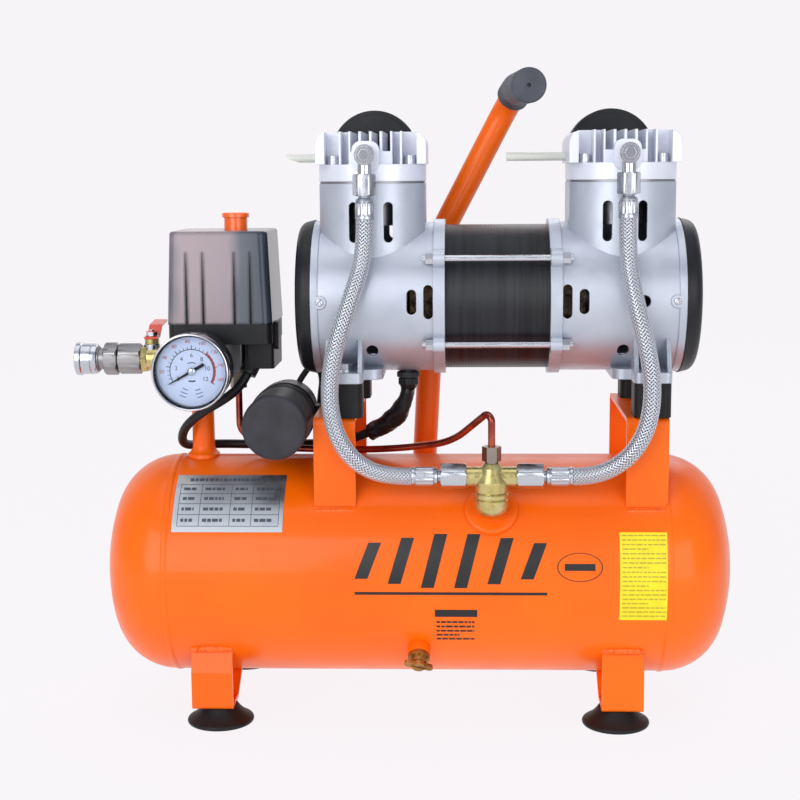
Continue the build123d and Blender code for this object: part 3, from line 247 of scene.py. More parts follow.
class Surface:
    """A Principled material with helpers for variation and relief."""

    def __init__(self, name, colour, roughness, metallic=0.0, **sockets):
        self.material = bpy.data.materials.new(name)
        self.material.use_nodes = True
        self.nodes = self.material.node_tree.nodes
        self.links = self.material.node_tree.links
        self.shader = self.nodes["Principled BSDF"]
        self.set("Base Color", colour)
        self.set("Roughness", roughness)
        self.set("Metallic", metallic)
        for socket, value in sockets.items():
            self.set(socket.replace("_", " "), value)
        self.relief = None
        self.coordinates = self.nodes.new("ShaderNodeTexCoord")

    def set(self, socket, value):
        self.shader.inputs[socket].default_value = value

    def noise(self, scale, detail=3.0, stretch=(1, 1, 1)):
        """Noise in object space; scale is in features per metre."""
        mapping = self.nodes.new("ShaderNodeMapping")
        mapping.inputs["Scale"].default_value = stretch
        self.links.new(self.coordinates.outputs["Object"], mapping.inputs["Vector"])
        texture = self.nodes.new("ShaderNodeTexNoise")
        texture.inputs["Scale"].default_value = scale
        texture.inputs["Detail"].default_value = detail
        self.links.new(mapping.outputs["Vector"], texture.inputs["Vector"])
        return texture.outputs["Fac"]

    def wave(self, scale, direction="X", distortion=0.0):
        """Bands across an axis."""
        texture = self.nodes.new("ShaderNodeTexWave")
        texture.bands_direction = direction
        texture.inputs["Scale"].default_value = scale
        texture.inputs["Distortion"].default_value = distortion
        self.links.new(self.coordinates.outputs["Object"], texture.inputs["Vector"])
        return texture.outputs["Fac"]

    def ramp(self, factor, low, high, start=0.35, end=0.65):
        """Blend between two colours or two greys by a factor."""
        node = self.nodes.new("ShaderNodeValToRGB")
        node.color_ramp.elements[0].position = start
        node.color_ramp.elements[1].position = end
        node.color_ramp.elements[0].color = low
        node.color_ramp.elements[1].color = high
        self.links.new(factor, node.inputs["Fac"])
        return node.outputs["Color"]

    def vary_colour(self, factor, low, high, start=0.35, end=0.65):
        self.links.new(self.ramp(factor, low, high, start, end), self.shader.inputs["Base Color"])

    def vary_roughness(self, factor, low, high, start=0.35, end=0.65):
        level = self.ramp(factor, grey(low), grey(high), start, end)
        self.links.new(level, self.shader.inputs["Roughness"])

    def bump(self, factor, distance, strength=1.0):
        """Add relief. distance is in metres."""
        node = self.nodes.new("ShaderNodeBump")
        node.inputs["Distance"].default_value = distance
        node.inputs["Strength"].default_value = strength
        self.links.new(factor, node.inputs["Height"])
        if self.relief:
            self.links.new(self.relief, node.inputs["Normal"])
        self.relief = node.outputs["Normal"]
        self.links.new(self.relief, self.shader.inputs["Normal"])

    def round_edges(self, radius):
        """Light catches on softened edges. Comes before any bump."""
        node = self.nodes.new("ShaderNodeBevel")
        node.samples = 4
        node.inputs["Radius"].default_value = radius
        self.relief = node.outputs["Normal"]
        self.links.new(self.relief, self.shader.inputs["Normal"])


def grey(level):
    return (level, level, level, 1.0)


def orange_paint():
    base = linear(250, 104, 0)
    s = Surface("orange_paint", base, 0.36, Coat_Weight=0.18, Coat_Roughness=0.1)
    s.set("Specular IOR Level", 0.24)
    s.round_edges(0.0007)
    s.vary_colour(s.noise(9), linear(246, 99, 0), linear(253, 109, 0))
    s.vary_roughness(s.noise(55), 0.32, 0.4)
    s.bump(s.noise(160, 2), 0.00003, 0.4)
    return s.material


def weld_paint():
    s = Surface("weld_paint", linear(246, 100, 2), 0.34, Coat_Weight=0.3, Coat_Roughness=0.12)
    s.set("Specular IOR Level", 0.3)
    s.vary_colour(s.noise(300), linear(236, 90, 0), linear(252, 112, 8))
    s.bump(s.noise(420, 3), 0.0006, 0.8)
    return s.material


def cast_aluminium(name, low, high, metallic):
    s = Surface(name, high, 0.36, metallic)
    s.round_edges(0.0008)
    s.vary_colour(s.noise(30), low, high)
    s.vary_roughness(s.noise(140), 0.32, 0.42)
    s.bump(s.noise(1500, 4), 0.00009, 0.6)
    return s.material


def black_laminations():
    s = Surface("black_laminations", linear(22, 23, 28), 0.36, 0.05)
    s.set("Specular IOR Level", 0.36)
    s.vary_colour(s.noise(12, 2, (30, 1, 1)), linear(14, 15, 19), linear(30, 32, 39))
    s.bump(s.wave(300, "X"), 0.0002, 0.7)
    return s.material


def copper_wire():
    s = Surface("copper_wire", linear(96, 70, 48), 0.4, 0.8)
    s.bump(s.wave(360, "DIAGONAL", distortion=2), 0.0006, 1.0)
    s.vary_colour(s.noise(200), linear(46, 38, 30), linear(124, 104, 84))
    return s.material


def plated_steel(name, colour, roughness, scratch=0.5):
    s = Surface(name, colour, roughness, 1.0)
    s.round_edges(0.0004)
    s.vary_roughness(s.noise(120, 3), roughness * 0.85, roughness * 1.2)
    s.bump(s.noise(500, 2, (1, 1, 4)), 0.00001, scratch)
    return s.material


def brass(name, low, high):
    s = Surface(name, high, 0.3, 0.8)
    s.round_edges(0.0005)
    s.vary_colour(s.noise(110), low, high)
    s.vary_roughness(s.noise(240, 4), 0.18, 0.4)
    s.bump(s.noise(1300, 3), 0.00006, 0.5)
    return s.material


def copper_tube():
    s = Surface("copper_tube", linear(156, 66, 44), 0.2, 0.9, Coat_Weight=0.5, Coat_Roughness=0.1)
    s.vary_colour(s.noise(70), linear(138, 52, 36), linear(178, 84, 58))
    s.bump(s.noise(500, 2), 0.00004, 0.4)
    return s.material


def rubber(name, colour, roughness, grain=2200, depth=0.00006):
    s = Surface(name, colour, roughness)
    s.set("Specular IOR Level", 0.28)
    s.round_edges(0.0006)
    lighter = tuple(min(1.0, c * 1.5 + 0.003) for c in colour[:3])
    s.vary_colour(s.noise(60), colour, (*lighter, 1.0))
    s.bump(s.noise(grain, 3), depth, 0.7)
    return s.material


def gloss_plastic(name, colour, roughness, coat):
    s = Surface(name, colour, roughness, Coat_Weight=coat, Coat_Roughness=0.04)
    s.round_edges(0.0006)
    s.vary_roughness(s.noise(35), roughness * 0.8, roughness * 1.5)
    s.bump(s.noise(160, 2), 0.00004, 0.4)
    return s.material


def translucent_tube():
    s = Surface("clear_tube", linear(232, 232, 219), 0.3, Transmission_Weight=0.12, IOR=1.42)
    s.set("Subsurface Weight", 0.1)
    s.bump(s.noise(150), 0.00004, 0.5)
    return s.material


def smoked_cover():
    """Smoked glossy plastic with light painted into its colour: a painted pinkish sheen on the left, painted
    shade to blue grey on the right, and painted shade darkening its edges.
    """
    s = Surface("smoked_plastic", linear(112, 106, 112), 0.2, Coat_Weight=0.12, Coat_Roughness=0.05)
    s.set("Specular IOR Level", 0.3)
    split = s.nodes.new("ShaderNodeSeparateXYZ")
    s.links.new(s.coordinates.outputs["Object"], split.inputs["Vector"])
    across = s.nodes.new("ShaderNodeMapRange")
    across.inputs["From Min"].default_value = COVER_LEFT
    across.inputs["From Max"].default_value = COVER_RIGHT
    across.inputs["To Max"].default_value = 0.7
    s.links.new(split.outputs["X"], across.inputs["Value"])
    sheen_position = s.nodes.new("ShaderNodeMath")
    sheen_position.operation = "MULTIPLY_ADD"
    sheen_position.inputs[1].default_value = 0.4
    s.links.new(s.noise(20, 2, (1, 1, 0.6)), sheen_position.inputs[0])
    s.links.new(across.outputs["Result"], sheen_position.inputs[2])
    # Painted light: a pale pinkish painted sheen on the cover's left, and painted shade deepening to dark
    # blue grey on its right.
    sheen_and_shade_ramp = s.nodes.new("ShaderNodeValToRGB")
    stops = sheen_and_shade_ramp.color_ramp.elements
    stops[0].position = 0.2
    stops[0].color = linear(96, 100, 108)
    stops[1].position = 0.9
    stops[1].color = linear(48, 56, 68)
    stops.new(0.29).color = linear(158, 143, 147)
    stops.new(0.60).color = linear(150, 136, 142)
    stops.new(0.69).color = linear(84, 91, 102)
    s.links.new(sheen_position.outputs["Value"], sheen_and_shade_ramp.inputs["Fac"])
    # Painted shade: the colour darkens along the cover's edges, where the rounded normal leaves the true one.
    bevel = s.nodes.new("ShaderNodeBevel")
    bevel.samples = 6
    bevel.inputs["Radius"].default_value = 0.003
    geometry = s.nodes.new("ShaderNodeNewGeometry")
    agree = s.nodes.new("ShaderNodeVectorMath")
    agree.operation = "DOT_PRODUCT"
    s.links.new(bevel.outputs["Normal"], agree.inputs[0])
    s.links.new(geometry.outputs["Normal"], agree.inputs[1])
    painted_edge_shade = s.ramp(agree.outputs["Value"], grey(0.05), grey(1.0), 0.955, 0.998)
    shade = s.nodes.new("ShaderNodeMix")
    shade.data_type = "RGBA"
    shade.blend_type = "MULTIPLY"
    shade.inputs["Factor"].default_value = 1.0
    s.links.new(sheen_and_shade_ramp.outputs["Color"], shade.inputs[6])
    s.links.new(painted_edge_shade, shade.inputs[7])
    s.links.new(shade.outputs[2], s.shader.inputs["Base Color"])
    s.round_edges(0.0006)
    s.bump(s.noise(60, 2), 0.00008, 0.5)
    return s.material


def gauge_glass():
    s = Surface("gauge_glass", linear(236, 244, 252), 0.03, Transmission_Weight=1.0, IOR=1.12)
    s.bump(s.noise(40), 0.00001, 0.2)
    return s.material


def dial_face():
    s = Surface("dial_face", linear(228, 229, 246), 0.45)
    s.vary_colour(s.noise(35), linear(222, 224, 243), linear(234, 234, 248))
    return s.material


def braid_wire():
    """Bright woven wire: stripes across each strand paint shade in the grooves between its separate wires and
    highlight on their crowns.
    """
    s = Surface("braid_wire", linear(226, 229, 236), 0.3, 0.9)
    texture = s.nodes.new("ShaderNodeTexWave")
    texture.bands_direction = "X"
    texture.inputs["Scale"].default_value = 0.95
    s.links.new(s.coordinates.outputs["UV"], texture.inputs["Vector"])
    # Painted shade between the wires and painted highlight on their crowns.
    s.vary_colour(texture.outputs["Fac"], linear(176, 181, 192), linear(238, 241, 247), 0.1, 0.6)
    return s.material


def flat_print(name, colour, roughness=0.5):
    s = Surface(name, colour, roughness)
    dark = tuple(c * 0.9 for c in colour[:3])
    s.vary_colour(s.noise(120), (*dark, 1.0), colour)
    return s.material


ORANGE = orange_paint()
WELD = weld_paint()
ALUMINIUM = cast_aluminium("cast_aluminium", linear(181, 188, 201), linear(191, 197, 208), 0.55)
# The cylinder heads take a lighter, less metallic copy of the cast aluminium: painted light, for the light
# falling on the top of the pump.
TOP_LIT_ALUMINIUM = cast_aluminium("top_lit_aluminium", linear(222, 226, 238), linear(230, 233, 243), 0.3)
LAMINATIONS = black_laminations()
COPPER_WIRE = copper_wire()
MOTOR_STEEL = plated_steel("motor_steel", linear(150, 150, 154), 0.34)
ZINC = plated_steel("zinc_steel", linear(205, 207, 214), 0.25)
CHROME = plated_steel("chrome", linear(214, 215, 220), 0.12, 0.25)
NICKEL = plated_steel("nickel", linear(196, 200, 207), 0.24)
GREY_STEEL = plated_steel("grey_steel", linear(150, 149, 150), 0.36)
STEEL_NUT = plated_steel("dull_nickel", linear(150, 140, 130), 0.34)
BRASS = brass("brass", linear(186, 170, 108), linear(206, 196, 140))
DRAIN_BRASS = brass("drain_brass", linear(140, 92, 44), linear(182, 134, 74))
COPPER = copper_tube()
RUBBER = rubber("black_rubber", linear(17, 16, 18), 0.5)
LEAD = rubber("lead_sheath", linear(22, 22, 25), 0.42, 900, 0.00004)
TAPE = rubber("black_tape", linear(24, 24, 26), 0.3, 300, 0.0002)
GRIP = rubber("grip_foam", linear(66, 69, 77), 0.62, 1500, 0.0001)
BLACK_PLASTIC = rubber("matte_black_plastic", linear(22, 23, 27), 0.4, 1800, 0.00004)
BOOT = rubber("capacitor_boot", linear(42, 42, 47), 0.5, 2000, 0.00005)
SMOKED = smoked_cover()
GLOSS_BLACK = gloss_plastic("gloss_black_plastic", linear(20, 21, 24), 0.12, 0.5)
KNOB = gloss_plastic("orange_plastic", linear(255, 104, 20), 0.25, 0.4)
LEVER = gloss_plastic("lever_dip", linear(232, 66, 26), 0.3, 0.4)
CLEAR_TUBE = translucent_tube()
GLASS = gauge_glass()
DIAL = dial_face()
BRAID = braid_wire()
BRAID_CORE = rubber("braid_core", linear(46, 47, 51), 0.55)
INK = flat_print("print_black", linear(22, 22, 24), 0.35)
INK_GREY = flat_print("print_grey", linear(74, 80, 94))
INK_RED = flat_print("print_red", linear(206, 74, 58))
PLATE = plated_steel("spec_plate", linear(196, 202, 208), 0.42)
YELLOW = flat_print("label_yellow", linear(246, 224, 22), 0.4)
FADED_INK = flat_print("print_faded", linear(186, 168, 44))
PALE_BLUE = flat_print("print_blue", linear(122, 150, 186))

NODE_MATERIALS = {
    ORANGE: ["tank_shell", "tank_heads", "tank_bosses", "legs", "pump_brackets", "handle_tube"],
    GRIP: ["handle_grip"],
    RUBBER: ["rubber_feet", "rubber_dampers", "check_poppet"],
    ZINC: ["mounting_bolts", "tie_rods", "head_screws"],
    ALUMINIUM: ["crankcase_left", "crankcase_right", "piston_left", "piston_right"],
    TOP_LIT_ALUMINIUM: ["cylinder_heads"],
    LAMINATIONS: ["stator_core"],
    COPPER_WIRE: ["stator_windings"],
    MOTOR_STEEL: [
        "bearings", "cylinder_sleeves", "valve_plates", "rotor_shaft", "rotor_core", "eccentrics",
        "switch_mechanism", "switch_manifold", "coupler_spring",
    ],
    BLACK_PLASTIC: ["fans", "fan_covers", "air_filters", "capacitor_clamp", "switch_base", "gauge_needle"],
    BOOT: ["capacitor"],
    CLEAR_TUBE: ["breather_tubes"],
    CHROME: ["banjo_fittings", "gauge_bezel"],
    BRASS: ["check_valve_body", "outlet_valve_body"],
    DRAIN_BRASS: ["drain_body", "drain_key"],
    STEEL_NUT: ["unload_nuts"],
    COPPER: ["unload_tube"],
    SMOKED: ["switch_cover"],
    GLOSS_BLACK: ["gauge_case"],
    KNOB: ["switch_knob"],
    LEVER: ["valve_lever"],
    DIAL: ["gauge_dial"],
    NICKEL: ["outlet_adapter", "coupler_body", "coupler_sleeve"],
    GLASS: ["gauge_lens"],
}
for material, names in NODE_MATERIALS.items():
    for name in names:
        slots = NODES[name].data.materials
        slots.clear()
        slots.append(material)


# ------------------------------------------------------------------ hoses and leads
HOSE_START = 343.0
TOP_NUT_Z = 372.3           # top of the nut under a head's fitting
CROSS_ARM = 16.5            # reach of the cross-shaped valve's side arms
HOSE_ROUTES = {
    "left": [
        mm(-32.3, -51.5, HOSE_START),
        mm(-32.3, -51.5, 319),
        mm(-41.2, -62.5, 292.2),
        mm(-51.1, -69.5, 263.0),
        mm(-55.9, -72.3, 233.5),
        mm(-53.0, -72.8, 207.6),
        mm(-42.7, -71.5, 188.5),
        mm(-27.8, -68.6, 178.1),
        mm(-12.7, VALVE_Y, ARM_Z),
        mm(-2.0, VALVE_Y, ARM_Z),
    ],
    "right": [
        mm(139.0, -51.5, HOSE_START),
        mm(139.0, -51.5, 319),
        mm(142.6, -62.5, 292.2),
        mm(149.9, -69.5, 264.1),
        mm(154.6, -72.3, 236.1),
        mm(152.4, -72.8, 211.0),
        mm(143.2, -71.5, 191.6),
        mm(128.9, -68.6, 179.8),
        mm(114.2, VALVE_Y, ARM_Z),
        mm(103.5, VALVE_Y, ARM_Z),
    ],
}
CORE_STEPS = 24
CORE_R = 0.0052
STRANDS = 14                # strands of wire in each direction
STRAND_R = 0.00550          # mean radius of the weave
STRAND_LIFT = 0.00017
STRAND_HALF = 0.00069       # half width of a strand
STRAND_THICK = 0.00021


def braid_mesh(name, line):
    """Tube with woven strands on it: two over, two under, in both directions."""
    path = even_steps(line, 0.0009)
    turned_frames = frames_along(path)
    step = (path[1] - path[0]).length
    crossing = math.pi * STRAND_R / STRANDS
    mesh = bpy.data.meshes.new(name)
    core = tube_rings(path, lambda share, angle: CORE_R, CORE_STEPS)
    vertices = [tuple(p) for ring in core for p in ring]
    faces = []
    texture = []
    for r in range(len(core) - 1):
        for k in range(CORE_STEPS):
            a = r * CORE_STEPS + k
            b = r * CORE_STEPS + (k + 1) % CORE_STEPS
            faces.append((a, b, b + CORE_STEPS, a + CORE_STEPS))
            texture.append([(0, 0)] * 4)
    faces.append(tuple(reversed(range(CORE_STEPS))))
    faces.append(tuple(range((len(core) - 1) * CORE_STEPS, len(core) * CORE_STEPS)))
    texture += [[(0, 0)] * CORE_STEPS, [(0, 0)] * CORE_STEPS]
    core_faces = len(faces)
    for way in (1, -1):
        for strand in range(STRANDS):
            start = len(vertices)
            for k, (point, (tangent, side, up)) in enumerate(zip(path, turned_frames)):
                along = k * step
                angle = 2 * math.pi * strand / STRANDS + way * along / STRAND_R
                phase = 2 * strand + way * along / crossing - 0.5
                radius = STRAND_R + way * STRAND_LIFT * math.cos(math.pi / 2 * phase)
                out = side * math.cos(angle) + up * math.sin(angle)
                around = up * math.cos(angle) - side * math.sin(angle)
                width = (around - way * tangent).normalized()
                centre = point + out * radius
                vertices.append(tuple(centre - width * STRAND_HALF))
                vertices.append(tuple(centre + out * STRAND_THICK))
                vertices.append(tuple(centre + width * STRAND_HALF))
                vertices.append(tuple(centre - out * STRAND_THICK))
            for k in range(len(path) - 1):
                for j in range(4):
                    a = start + 4 * k + j
                    b = start + 4 * k + (j + 1) % 4
                    faces.append((a, b, b + 4, a + 4))
                    low, high = j / 2, (j + 1) / 2
                    texture.append([(low, k), (high, k), (high, k + 1), (low, k + 1)])
            last = start + 4 * (len(path) - 1)
            faces.append((start + 3, start + 2, start + 1, start))
            faces.append((last, last + 1, last + 2, last + 3))
            texture += [[(0, 0)] * 4, [(0, 0)] * 4]
    mesh.from_pydata(vertices, [], faces)
    layer = mesh.uv_layers.new(name="weave")
    painted_edge_shade = [c for face in texture for corner in face for c in corner]
    layer.data.foreach_set("uv", painted_edge_shade)
    for index, polygon in enumerate(mesh.polygons):
        polygon.use_smooth = True
        polygon.material_index = 1 if index < core_faces else 0
    return mesh


def ferrule_profile(length, nut, nut_half, corner):
    """Crimped ferrule, neck and hexagonal nut, along the hose from the braid outward."""
    body = length - nut - 1.6
    return [
        ("round", 0.0, 5.95),
        ("round", 0.0, 6.25),
        ("round", 1.6, 6.3),
        ("round", 1.8, 5.9),
        ("round", 2.2, 5.9),
        ("flute", 2.6, 6.25, 0.0),
        ("flute", 3.0, 6.25, 0.62),
        ("flute", body - 3.6, 6.25, 0.62),
        ("flute", body - 3.2, 6.25, 0.0),
        ("round", body - 2.6, 5.6),
        ("round", body - 1.8, 6.1),
        ("round", body - 0.5, 5.6),
        ("round", body, 4.2),
        ("round", length - nut - 0.4, 3.8),
        ("hex", length - nut, nut_half, nut_half * 1.01),
        ("hex", length - nut + 0.8, nut_half, corner),
        ("hex", length - 0.9, nut_half, corner),
        ("hex", length, nut_half, nut_half * 1.01),
        ("round", length, 4.8),
    ]


def make_hoses():
    top_length = TOP_NUT_Z - HOSE_START
    for hand, route in HOSE_ROUTES.items():
        line = curve_line(route)
        weave = braid_mesh(f"braided_hose_{hand}", line)
        hose = new_object(f"braided_hose_{hand}", weave, [BRAID, BRAID_CORE])
        toward = 1 if hand == "left" else -1
        low_end = route[-1]
        reach = abs(VALVE_X - CROSS_ARM * toward + FRAME_X - low_end.x * 1000)
        top = turned(
            f"ferrule_top_{hand}", route[0], (0, 0, 1),
            ferrule_profile(top_length, 14.1, 6.8, 7.6), NICKEL, steps=96, turn=0.3,
        )
        low = turned(
            f"ferrule_low_{hand}", low_end, (toward, 0, 0),
            ferrule_profile(reach - 0.05, reach - 19.0, 7.8, 8.7), NICKEL, steps=96, turn=0.0,
        )
        if hand == "left":
            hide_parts("hose_fittings")
        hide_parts(f"hose_{hand}")


def soft_lead(name, points, radius, material, node):
    """Round lead on a smooth NURBS line."""
    data = bpy.data.curves.new(name, "CURVE")
    data.dimensions = "3D"
    data.resolution_u = 10
    data.bevel_depth = radius
    data.bevel_resolution = 6
    data.use_fill_caps = True
    add_route(data, points)
    data.materials.append(material)
    piece = bpy.data.objects.new(name, data)
    bpy.context.scene.collection.objects.link(piece)
    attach(piece, "frame")
    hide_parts(node)
    return piece


GLAND_X = -6.0
GLAND_Y = -6.0
GLAND_TOP = PUMP_Z - 51.0 - 0.1
GLAND_END = GLAND_TOP - 11.5
BOOT_POINTS = [
    mm(GLAND_X, GLAND_Y, GLAND_END),
    mm(-9, -3.5, 212.5),
    mm(-19.5, 5.5, 198.5),
    mm(-34, 13.5, 191),
]
BOOT_DIR = (BOOT_POINTS[3] - BOOT_POINTS[2]).normalized()
BOOT_ACROSS = Vector((BOOT_DIR.y, -BOOT_DIR.x, 0)).normalized()
LEAD_END = BOOT_POINTS[3] - BOOT_ACROSS * 0.0033
CAP_LEAD_END = BOOT_POINTS[3] + BOOT_ACROSS * 0.0039
SWITCH_GLAND_DIR = Vector((-0.42, -0.34, -0.84)).normalized()
LEAD_START = mm(-112, -13, 246) + SWITCH_GLAND_DIR * 0.011
SPOUT_DIR = Vector((0.5, 0.2, 0.84)).normalized()
CAP_LEAD_START = mm(CAP_X + 1, 22, CAP_Z + 8) + SPOUT_DIR * 0.011
LEAD_POINTS = [
    LEAD_START,
    LEAD_START + SWITCH_GLAND_DIR * 0.010,
    mm(-132.5, -24, 219.5),
    mm(-148, -23, 211),
    mm(-161.5, -14, 199.5),
    mm(-166.5, -2.5, 188.5),
    mm(-165.5, 9, 182.4),
    mm(-158, 20.5, 180.6),
    mm(-143, 26, 180.3),
    mm(-118, 25.2, 180),
    mm(-92, 22.5, 180.6),
    mm(-67, 21.5, 181.3),
    LEAD_END + BOOT_DIR * 0.016,
    LEAD_END,
]
CAP_LEAD_POINTS = [
    CAP_LEAD_START,
    CAP_LEAD_START + SPOUT_DIR * 0.007,
    mm(-77.6, 27.2, 236.6),
    mm(-71.2, 28.2, 234.6),
    mm(-69.2, 29, 226.5),
    mm(-70.7, 30.2, 216.5),
    mm(-71.8, 31, 206.5),
    mm(-70.2, 31.8, 196.5),
    mm(-62.5, 31.2, 189),
    mm(-51.5, 28.6, 186.2),
    CAP_LEAD_END + BOOT_DIR * 0.010,
    CAP_LEAD_END,
]


def make_leads():
    lead = soft_lead("switch_to_motor_lead", LEAD_POINTS, 0.0032, LEAD, "motor_lead")
    cap_lead = soft_lead("capacitor_to_motor_lead", CAP_LEAD_POINTS, 0.0022, LEAD, "capacitor_lead")


def make_motor_gland():
    """Ribbed cable gland and the lumpy taped sleeve below it."""
    gland = turned(
        "motor_cable_gland", mm(GLAND_X, GLAND_Y, GLAND_TOP + 5.5), (0, 0, -1),
        [
            ("round", 0.0, 4.9), ("round", 5.5, 4.9), ("hex", 5.5, 6.6, 6.7), ("hex", 6.2, 7.0, 7.9),
            ("hex", 9.6, 7.0, 7.9), ("round", 10.0, 6.2), ("flute", 10.6, 7.0, 0.5),
            ("flute", 14.4, 7.0, 0.5), ("round", 15.4, 6.0), ("round", 17.4, 5.2),
        ],
        BLACK_PLASTIC,
    )
    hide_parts("motor_gland")
    line = even_steps(curve_line(BOOT_POINTS), 0.0011)

    def taped(share, angle):
        swell = 0.0046 + 0.0022 * math.sin(math.pi * min(1.0, share * 0.62 + 0.1)) ** 2
        wrap = 0.00032 * (((share * 13 + angle / (2 * math.pi)) % 1.0) - 0.5)
        lump = 0.0004 * math.sin(9 * share + 2 * angle) + 0.0003 * math.sin(23 * share - 3 * angle)
        return swell + wrap + lump

    mesh = mesh_from("taped_sleeve", tube_rings(line, taped, 40), smooth_angle=60)
    sleeve = new_object("taped_sleeve", mesh, [TAPE])


# ------------------------------------------------------------------ plates and prints on the tank
def on_tank(x, angle, height):
    """Point at a height above the tank's surface; angle is upward from the front."""
    radius = TANK_R + height
    a = math.radians(angle)
    return mm(x, -radius * math.cos(a), TANK_Z + radius * math.sin(a))


def strips(name, rows, flip=False):
    """Mesh of strips. Each row is a list of sections with four corners, low side first."""
    mesh = bpy.data.meshes.new(name)
    vertices = []
    faces = []
    for sections in rows:
        start = len(vertices)
        last = start + 4 * (len(sections) - 1)
        vertices += [tuple(corner) for section in sections for corner in section]
        for base in range(start, last, 4):
            for j in range(4):
                a = base + j
                b = base + (j + 1) % 4
                faces.append((a, a + 4, b + 4, b))
        faces.append((start, start + 1, start + 2, start + 3))
        faces.append((last + 3, last + 2, last + 1, last))
    if flip:
        faces = [tuple(reversed(face)) for face in faces]
    mesh.from_pydata(vertices, [], faces)
    return mesh


def tank_section(x0, x1, angle, base, thickness):
    """Four corners of a flat section on the tank."""
    corners = ((x0, base), (x1, base), (x1, base + thickness), (x0, base + thickness))
    return [on_tank(x, angle, height) for x, height in corners]


def tank_patches(name, patches, material, base, thickness):
    """Thin curved patches on the tank: rows of (x low, x high, angle low, angle high)."""
    rows = []
    for x0, x1, a0, a1 in patches:
        steps = max(1, round(abs(a1 - a0) / 3))
        angles = [a0 + (a1 - a0) * k / steps for k in range(steps + 1)]
        rows.append([tank_section(x0, x1, angle, base, thickness) for angle in angles])
    mesh = strips(name, rows)
    smooth(mesh, 40)
    return new_object(name, mesh, [material])


def text_bars(rng, x0, x1, a_top, a_bottom, rows, fill=0.9, height=0.45):
    """Grey bars in place of lines of text, broken into word lengths."""
    bars = []
    pitch = (a_top - a_bottom) / rows
    for row in range(rows):
        top = a_top - pitch * (row + 0.2)
        bottom = top - pitch * height
        x = x0
        stop = x0 + (x1 - x0) * (fill if row % 4 != 3 else fill * 0.6)
        while x < stop:
            word = rng.uniform(1.6, 4.6)
            bars.append((x, min(x + word, stop), bottom, top))
            x += word + 0.7
    return bars


def make_plates():
    rng = random.Random(7)
    plate = tank_patches("spec_plate", [(-163.0, -88.5, 28.6, 64.0)], PLATE, 0.06, 0.35)
    rules = []
    columns = (-159.5, -145.0, -124.5, -110.0, -91.5)
    rows = [56.5 - 6.2 * k for k in range(5)]
    for x in columns:
        rules.append((x - 0.2, x + 0.2, rows[-1], rows[0]))
    for angle in rows:
        rules.append((columns[0], columns[-1], angle - 0.16, angle + 0.16))
    tank_patches("spec_plate_rules", rules, INK_GREY, 0.42, 0.06)
    words = text_bars(rng, -154, -100, 62.0, 57.6, 1, 1.0, 0.5)
    for left, right in zip(columns, columns[1:]):
        for top, bottom in zip(rows, rows[1:]):
            words += text_bars(rng, left + 2.2, right - 2.5, top - 1.4, bottom + 1.0, 1, 0.85, 0.46)
    tank_patches("spec_plate_bars", words, INK_GREY, 0.42, 0.06)

    tank_patches("notice_label", [(134.6, 166.6, -15.8, 29.0)], YELLOW, 0.05, 0.14)
    bars = text_bars(rng, 136.2, 165.2, 28.2, -15.0, 19, 0.98, 0.3)
    tank_patches("notice_label_bars", bars, FADED_INK, 0.2, 0.05)


def make_generic_mark():
    """Plain emblem of slanted bars on the tank's front, with a rule under it."""
    steps = 8
    rows = []
    for k, tall in enumerate((18.0, 23.0, 27.0, 27.0, 23.0, 18.0)):
        left = -40.0 + 21.9 * k
        row = []
        for j in range(steps + 1):
            share = j / steps
            x = left + 9.0 * share
            angle = 14.5 + tall / 2 * (share * 2 - 1)
            row.append(tank_section(x, x + 8.5, angle, 0.05, 0.08))
        rows.append(row)
    mesh = strips("tank_mark", rows)
    smooth(mesh, 40)
    new_object("tank_mark", mesh, [INK])
    tank_patches("tank_mark_rule", [(-40, 87, -2.6, -1.2)], INK, 0.05, 0.08)
    make_oval()
    rng = random.Random(3)
    bars = [(13.0, 41.0, -14.5, -10.5)] + text_bars(rng, 14.0, 40.5, -16.5, -30.0, 5, 0.95, 0.4)
    tank_patches("tank_notice_bars", bars, INK, 0.05, 0.08)


def make_oval():
    """Thin oval outline to the right of the emblem, with a plain bar inside."""
    mesh = bpy.data.meshes.new("oval_outline")
    vertices = []
    faces = []
    steps = 72
    for k in range(steps):
        a = 2 * math.pi * k / steps
        for size in (1.0, 0.955):
            x = 108.5 + 15.0 * size * math.cos(a)
            angle = 11.5 + 7.2 * size * math.sin(a)
            vertices.append(tuple(on_tank(x, angle, 0.05)))
            vertices.append(tuple(on_tank(x, angle, 0.13)))
    for k in range(steps):
        a = 4 * k
        b = 4 * ((k + 1) % steps)
        faces.append((a, b, b + 1, a + 1))
        faces.append((a + 1, b + 1, b + 3, a + 3))
        faces.append((a + 3, b + 3, b + 2, a + 2))
        faces.append((a + 2, b + 2, b, a))
    mesh.from_pydata(vertices, [], faces)
    smooth(mesh, 40)
    new_object("oval_outline", mesh, [INK])
    tank_patches("oval_bar", [(98.5, 118.5, 9.8, 13.2)], INK, 0.05, 0.08)


# ------------------------------------------------------------------ welds
def weld_bead(name, points, radius, seed):
    """Uneven bead of weld along a line."""
    rng = random.Random(seed)
    line = even_steps([Vector(p) for p in points], 0.0009)
    ripples = [rng.uniform(0.85, 1.15) for _ in line]
    count = len(line) - 1

    def bead(share, angle):
        k = round(share * count)
        taper = min(1.0, 6 * share + 0.25, 6 * (1 - share) + 0.25)
        ripple = 1 + 0.12 * math.sin(k * 1.9)
        return radius * taper * ripple * ripples[k]

    return mesh_from(name, tube_rings(line, bead, 12), smooth_angle=80)


